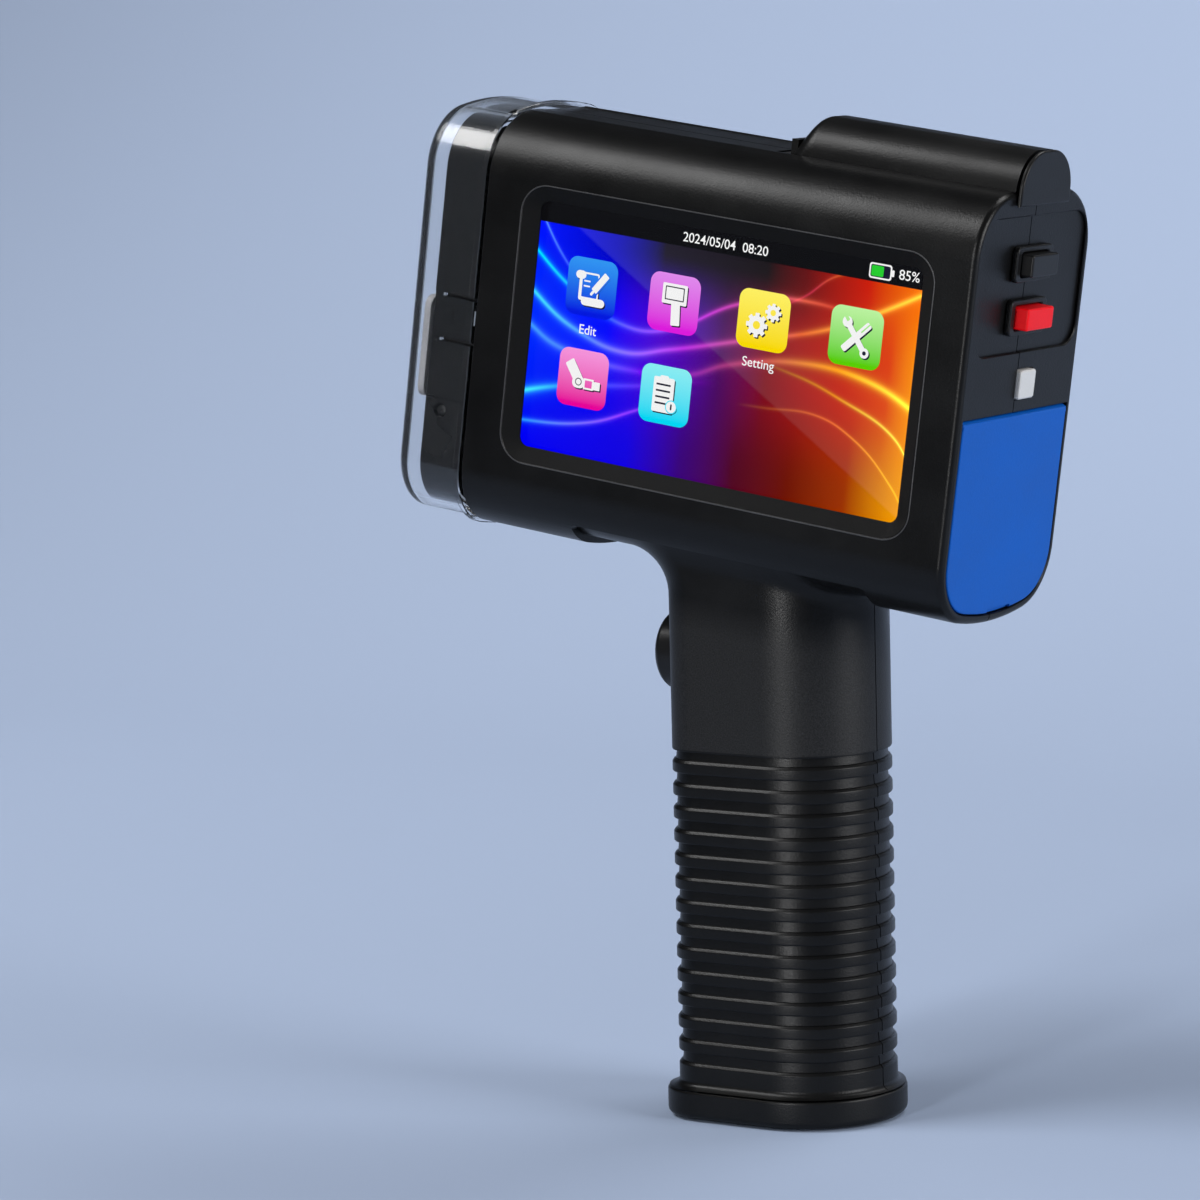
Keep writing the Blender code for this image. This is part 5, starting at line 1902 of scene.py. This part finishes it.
@dataclass
class SideDoor:
    """The cartridge door on the far side."""

    low: float = -26.7
    high: float = 39.1
    front: float = -55.7
    wall: float = 2.4
    bead: float = 1.28
    scoop_at: Pair = (-53, 5)
    scoop: tuple[Pair, ...] = (
        *((0, -23.6), (5.0, -23.7), (8.0, -24.2), (9.3, -25.1), (10, -28), (0, -28)),
    )

    def build(self) -> None:
        """Cuts the door out of the head's shell, adds its hinge edge and finger scoop."""
        door = Form(Plane.ACROSS, HEAD).prism(HeadSection(), -70, 70).piece("side_door_panel")
        hollow = Form(Plane.ACROSS, HEAD).prism(HeadSection(self.wall), -75, 75)
        bead = rod(HEAD, Plane.LEVEL, SIDE_AXIS, self.low, 29.5, self.bead)
        hole = rod(HEAD, Plane.LEVEL, SIDE_AXIS, -40, 30.5, PIN_HOLE)
        scoop = Form(Plane.SIDE, HEAD).turned(self.scoop, self.scoop_at, 48)
        shape(
            door,
            (Act.CUT, [hollow.piece("hollow")]),
            (Act.KEEP, [block((self.front, 6, self.low), (SIDE_AXIS[0], 40, self.high), HEAD)]),
            (Act.JOIN, [bead]),
            (Act.CUT, [hole, scoop.piece("scoop")]),
        )
        fit(door, HOUSING, "side_door", "housing", "cartridge_door")


@dataclass
class RearDoor:
    """The blue door over the sockets."""

    inset: float = 2.2
    out: float = 60.6
    thick: float = 1.9
    bead: float = 1.28

    def build(self) -> None:
        """Builds the plate with rounded edges, its hinge edge, lug and pull notch."""
        outline = DoorSection(self.inset, REAR_AXIS[1] + 0.9)
        form = Form(Plane.ACROSS, HEAD).eased(outline, self.out - self.thick, self.out, 0.4, 3)
        door = form.piece("port_cover")
        bead = rod(HEAD, Plane.SIDE, REAR_AXIS, -22.7, 22.7, self.bead)
        hole = rod(HEAD, Plane.SIDE, REAR_AXIS, -30, 30, PIN_HOLE)
        notch = block((59.7, -3, -50), (66, 7, -45.0), HEAD)
        lug = block((56.8, -3, -43.6), (59.6, 3, -42.2), HEAD)
        shape(door, (Act.JOIN, [bead, lug]), (Act.CUT, [hole, notch]))
        fit(door, BLUE_DOOR, "rear_door", "blue_door", "port_door")


def key_cap(
    name: str, skirt: Rounded, shoulder: float, cap: Rounded, ease: Sequence[Pair]
) -> bpy.types.Object:
    """A key's cap on its hidden skirt.

    Args:
        name: Name of the piece.
        skirt: The skirt's outline.
        shoulder: Where the skirt ends.
        cap: The cap's outline.
        ease: How much smaller the cap is, and where, up to its tip.

    Returns:
        The cap.
    """
    levels = [(skirt, 55.6), (skirt, shoulder), (cap, shoulder + 0.01)]
    levels += [(cap.grown(-less), height) for less, height in ease]
    return Form(Plane.ACROSS, HEAD).loft(levels).piece(name)


@dataclass(frozen=True)
class Key:
    """One push key on the rear face."""

    name: str
    y: float
    v: float
    tip: float
    finish: Finish
    body: str
    slot: str
    rim: tuple[float, ...] = (15.6, 7.6, 1.3, 8)
    sleeve: tuple[float, ...] = (13.6, 6.0, 0.7, 5)
    way: tuple[float, ...] = (11.9, 5.2, 0.6, 6)
    face: float = 61.2

    def build(self) -> None:
        """Builds the bezel's frame and the cap with its eased edges."""
        at, tip = (self.y, self.v), self.tip
        rim = Rounded(*at, *self.rim)
        frame = Form(Plane.ACROSS, HEAD).eased(rim, 60.0, self.face, 0.35, 3)
        bezel = frame.piece(self.name + "_surround")
        sleeve = Form(Plane.ACROSS, HEAD).prism(Rounded(*at, *self.sleeve), 57.2, 60.6)
        hole = Rounded(*at, *self.way)
        way = Form(Plane.ACROSS, HEAD).opening(hole, 50, self.face, 0.25)
        shape(bezel, (Act.JOIN, [sleeve.piece("sleeve")]), (Act.CUT, [way.piece("way")]))
        fit(bezel, SATIN, "body", "satin_black", self.name + "_bezel")
        skirt, cap = Rounded(*at, 12.9, 5.9, 0.5, 6), Rounded(*at, 11.3, 4.7, 0.5, 6)
        ease = ((0.0, tip - 0.45), (0.08, tip - 0.22), (0.24, tip - 0.07), (0.45, tip))
        item = key_cap(self.name + "_cap", skirt, 56.6, cap, ease)
        fit(item, self.finish, self.body, self.slot, self.name + "_button")


@dataclass
class RearKeys:
    """The two proud keys and the small grey one."""

    select_at: Pair = (1.9, 3.0)
    select_ease: tuple[Pair, ...] = ((0.0, 61.05), (0.1, 61.3), (0.4, 61.5))

    def build(self) -> None:
        """Builds the three keys."""
        Key("function", -0.6, 28.8, 63.8, BLACK_KEY, "function_key", "black_key").build()
        Key("power", -0.9, 17.6, 64.2, RED_KEY, "power_key", "red_key").build()
        skirt = Rounded(*self.select_at, 8.2, 7.6, 0.6, 6)
        cap = Rounded(*self.select_at, 6.8, 6.2, 0.7, 6)
        item = key_cap("select_cap", skirt, 56.5, cap, self.select_ease)
        fit(item, GREY_KEY, "select_key", "grey_key", "select_button")


# ------------------------------------------------------------------ grip pieces


@dataclass
class Trigger:
    """The round trigger, its collar and its return spring."""

    height: float = 100.6
    radius: float = 8.8
    tip: float = -28.4
    dome: float = 3.4
    coil: float = 4.4
    coil_start: float = -13.15
    coil_length: float = 7.1
    turns: float = 3.5
    per_turn: int = 24
    skirt: tuple[Pair, ...] = (
        *((8.8, -16.0), (9.9, -16.0), (9.9, -14.8), (6.4, -14.8), (6.4, -13.6), (0, -13.6)),
    )
    collar: tuple[Pair, ...] = (
        *((9.1, -20.45), (9.3, -20.7), (11.0, -20.7), (11.3, -20.55), (11.4, -20.3)),
        *((11.4, -19.8), (9.9, -19.79), (9.9, -16.6), (9.1, -16.6), (9.1, -20.45)),
    )

    def build(self) -> None:
        """Builds the domed trigger, the collar and the coil."""
        profile = [(0.0, self.tip)]
        for degrees in range(8, 91, 6):
            angle = math.radians(degrees)
            fall = self.dome * (1 - math.cos(angle))
            profile.append((self.radius * math.sin(angle), self.tip + fall))
        at = (0, self.height)
        button = Form(Plane.ACROSS, GRIP).turned([*profile, *self.skirt], at, 72)
        fit(button.piece("trigger_cap"), BLACK_KEY, "trigger", "black_key", "trigger_button")
        ring = Form(Plane.ACROSS, GRIP).turned(self.collar, at, 72).piece("trigger_ring")
        fit(ring, SATIN, "body", "satin_black", "trigger_collar")
        self.build_coil()

    def build_coil(self) -> None:
        """Builds the return spring as a round wire along a helix."""
        curve = bpy.data.curves.new("coil_line", "CURVE")
        curve.dimensions = "3D"
        curve.bevel_depth = 0.35
        curve.bevel_resolution = 3
        curve.use_fill_caps = True
        last = int(self.turns * self.per_turn)
        line = curve.splines.new("POLY")
        line.points.add(last)
        for i, point in enumerate(line.points):
            angle = 2 * math.pi * i / self.per_turn
            x = self.coil_start + self.coil_length * i / last
            y, z = self.coil * math.cos(angle), self.coil * math.sin(angle)
            point.co = (x, y, self.height + z, 1)
        coil = from_curve("trigger_coil", curve, GRIP)
        fit(coil, STEEL, "body", "steel", "trigger_spring")
        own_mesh(coil)


@dataclass
class Foot:
    """The cap that closes the grip and the rubber pad under it."""

    flare: tuple[float, float, float] = (2.7, 2.3, 2.0)
    top: float = 6.5
    core: float = -3.6
    cap: tuple[Pair, ...] = (
        *((-1.5, 0.4), (-0.9, 0.55), (-0.42, 0.9), (-0.12, 1.4)),
        *((0.0, 2.0), (0.0, 6.0), (-0.12, 6.32), (-0.4, 6.5)),
    )
    pad: tuple[Pair, ...] = ((-1.9, 0.0), (-1.5, 0.25), (-1.4, 0.5), (-1.4, 1.5))

    def build(self) -> None:
        """Builds both pieces."""
        plain_grip, flared = GripSection(), GripSection(*self.flare)
        levels = [(flared.grown(by), height) for by, height in self.cap]
        levels += [(plain_grip.grown(self.core), height) for height in (self.top, 11.0)]
        cap = Form(Plane.LEVEL, GRIP).loft(levels).piece("foot_cap")
        well = Form(Plane.LEVEL, GRIP).prism(plain_grip.grown(-1.0), -2, 1.8)
        hollow = Form(Plane.LEVEL, GRIP).prism(plain_grip.grown(-5.4), 4.0, 14)
        shape(cap, (Act.CUT, [well.piece("well"), hollow.piece("hollow")]))
        fit(cap, GRIP_SKIN, "body", "housing", "base_cap")
        levels = [(plain_grip.grown(by), height) for by, height in self.pad]
        pad = Form(Plane.LEVEL, GRIP).loft(levels).piece("foot_pad")
        fit(pad, RUBBER, "body", "rubber_pad", "base_pad")


# ------------------------------------------------------------------ studio


@dataclass(frozen=True)
class Lamp:
    """One soft box: where it stands, what it faces, its size, power and spread."""

    name: str
    at: tuple[float, float, float]
    toward: tuple[float, float, float]
    size: Pair
    power: float
    spread: float = 180.0

    def build(self) -> None:
        """Adds the lamp."""
        lamp = bpy.data.lights.new(self.name, "AREA")
        lamp.shape = "RECTANGLE"
        lamp.size, lamp.size_y = self.size
        lamp.energy = self.power
        lamp.spread = math.radians(self.spread)
        item = linked(self.name, lamp)
        item.location = self.at
        way = Vector(self.toward) - Vector(self.at)
        item.rotation_euler = way.to_track_quat("-Z", "Y").to_euler()
        item.visible_camera = False


LAMPS = (
    Lamp("key", (-0.58, -0.52, 1.12), (0.0, 0.0, 0.17), (0.56, 0.56), 10.5),
    Lamp("front_strip", (0.03, -1.35, 0.3), (0.0, 0.0, 0.2), (0.15, 0.7), 9.0),
    Lamp("right_strip", (1.25, 0.05, 0.45), (0.0, 0.0, 0.12), (0.6, 0.7), 12.0),
    Lamp("top_back", (0.3, 0.75, 1.15), (0.0, 0.0, 0.1), (0.8, 0.6), 6.0),
    Lamp("wall_wash", (-0.4, 0.1, 1.3), (-0.75, 1.0, 0.0), (0.9, 0.6), 3.2, 100.0),
)


@dataclass
class Studio:
    """The floor, the backdrop, the lamps and the camera."""

    pale: Colour = (0.38, 0.46, 0.62)
    lens: float = 155.78
    sensor: float = 36.0
    place: Colour = (0.58085, -0.9606, 0.2546)
    wide: float = 6.0

    def build(self) -> None:
        """Sets up the studio."""
        self.sweep()
        for lamp in LAMPS:
            lamp.build()
        self.world()
        self.camera()

    def sweep(self) -> None:
        """Builds a pale floor that curves up into a backdrop."""
        bm = bmesh.new()
        Pen(bm, -0.45, 0).line(0.4, 0, 4).arc(0.4, 0.8, 62, 16)
        made = bmesh.ops.extrude_edge_only(bm, edges=bm.edges[:])
        moved = [v for v in made["geom"] if isinstance(v, bmesh.types.BMVert)]
        bmesh.ops.translate(bm, vec=(0, 0, self.wide), verts=moved)
        upright = Matrix.Translation((-self.wide / 2, 0, 0)) @ Plane.ACROSS.value
        bmesh.ops.transform(bm, matrix=upright, verts=bm.verts)
        bmesh.ops.recalc_face_normals(bm, faces=bm.faces)
        mesh = bpy.data.meshes.new("sweep")
        bm.to_mesh(mesh)
        bm.free()
        mesh.shade_smooth()
        material = bpy.data.materials.new("pale_paper")
        material.use_nodes = True
        sheet = Sheet(material.node_tree)
        coords = sheet.add("TexCoord").outputs["Object"]
        cloud = sheet.add("TexNoise", Vector=coords, Scale=0.9, Detail=2.0)
        stops = ((0.3, scaled(self.pale, 0.93)), (0.7, self.pale))
        colour = sheet.ramp(cloud.outputs["Fac"], stops)
        shader = material.node_tree.nodes["Principled BSDF"]
        sheet.feed(shader, Base_Color=colour, Roughness=0.75, Specular_IOR_Level=0.1)
        mesh.materials.append(material)
        linked("sweep", mesh)

    def world(self) -> None:
        """Sets up a dim even surround."""
        world = bpy.data.worlds.new("surround")
        bpy.context.scene.world = world
        world.use_nodes = True
        sheet = Sheet(world.node_tree)
        path = sheet.add("LightPath")
        plain_view = sheet.math("MULTIPLY", path.outputs["Is Camera Ray"], 0.5)
        through = sheet.math("MULTIPLY", path.outputs["Is Transmission Ray"], 0.3)
        level = sheet.math("ADD", sheet.math("MAXIMUM", plain_view, through), 0.02)
        back = world.node_tree.nodes["Background"]
        sheet.feed(back, Color=(0.68, 0.8, 1.0, 1.0), Strength=level)

    def camera(self) -> None:
        """Sets up the camera in front of the screen side, a little behind the keys."""
        data = bpy.data.cameras.new("camera")
        data.lens = self.lens
        data.sensor_width = self.sensor
        data.clip_start = 0.01
        item = linked("camera", data)
        right = Vector((0.84208, 0.53878, -0.02505))
        up = Vector((-0.04654, 0.11886, 0.99182))
        back = Vector((0.53735, -0.83402, 0.12516))
        place = Matrix((right, up, back)).transposed().to_4x4()
        place.translation = Vector(self.place)
        item.matrix_world = place
        bpy.context.scene.camera = item


def dress_kept(nodes: dict[str, bpy.types.Object]) -> None:
    """Gives the CAD nodes that stay their finishes.

    Args:
        nodes: The CAD objects by name.
    """
    for finish, names in KEPT.items():
        for name in names:
            for place in nodes[name].material_slots:
                place.material = finish.material()
            log.info("%s keeps its CAD shape", name)


def plain(corners: Sequence[Sequence[float]]) -> list[list[float]]:
    """A box's corners as plain lists of numbers."""
    return [[float(value) for value in corner] for corner in corners]


def main() -> None:
    """Builds the model's looks around the loaded frame."""
    logging.basicConfig(level=logging.INFO, format="%(message)s")
    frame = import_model()
    bpy.context.scene.view_settings.view_transform = "Standard"
    pieces: Sequence[Callable[[], None]] = (
        Housings().build,
        CaseScrews().build,
        Muzzle().build,
        Screen().build,
        TopCover().build,
        SideDoor().build,
        RearDoor().build,
        RearKeys().build,
        Trigger().build,
        Foot().build,
        Studio().build,
    )
    for build in pieces:
        build()
    dress_kept(frame["nodes"])


if __name__ == "__main__":
    main()
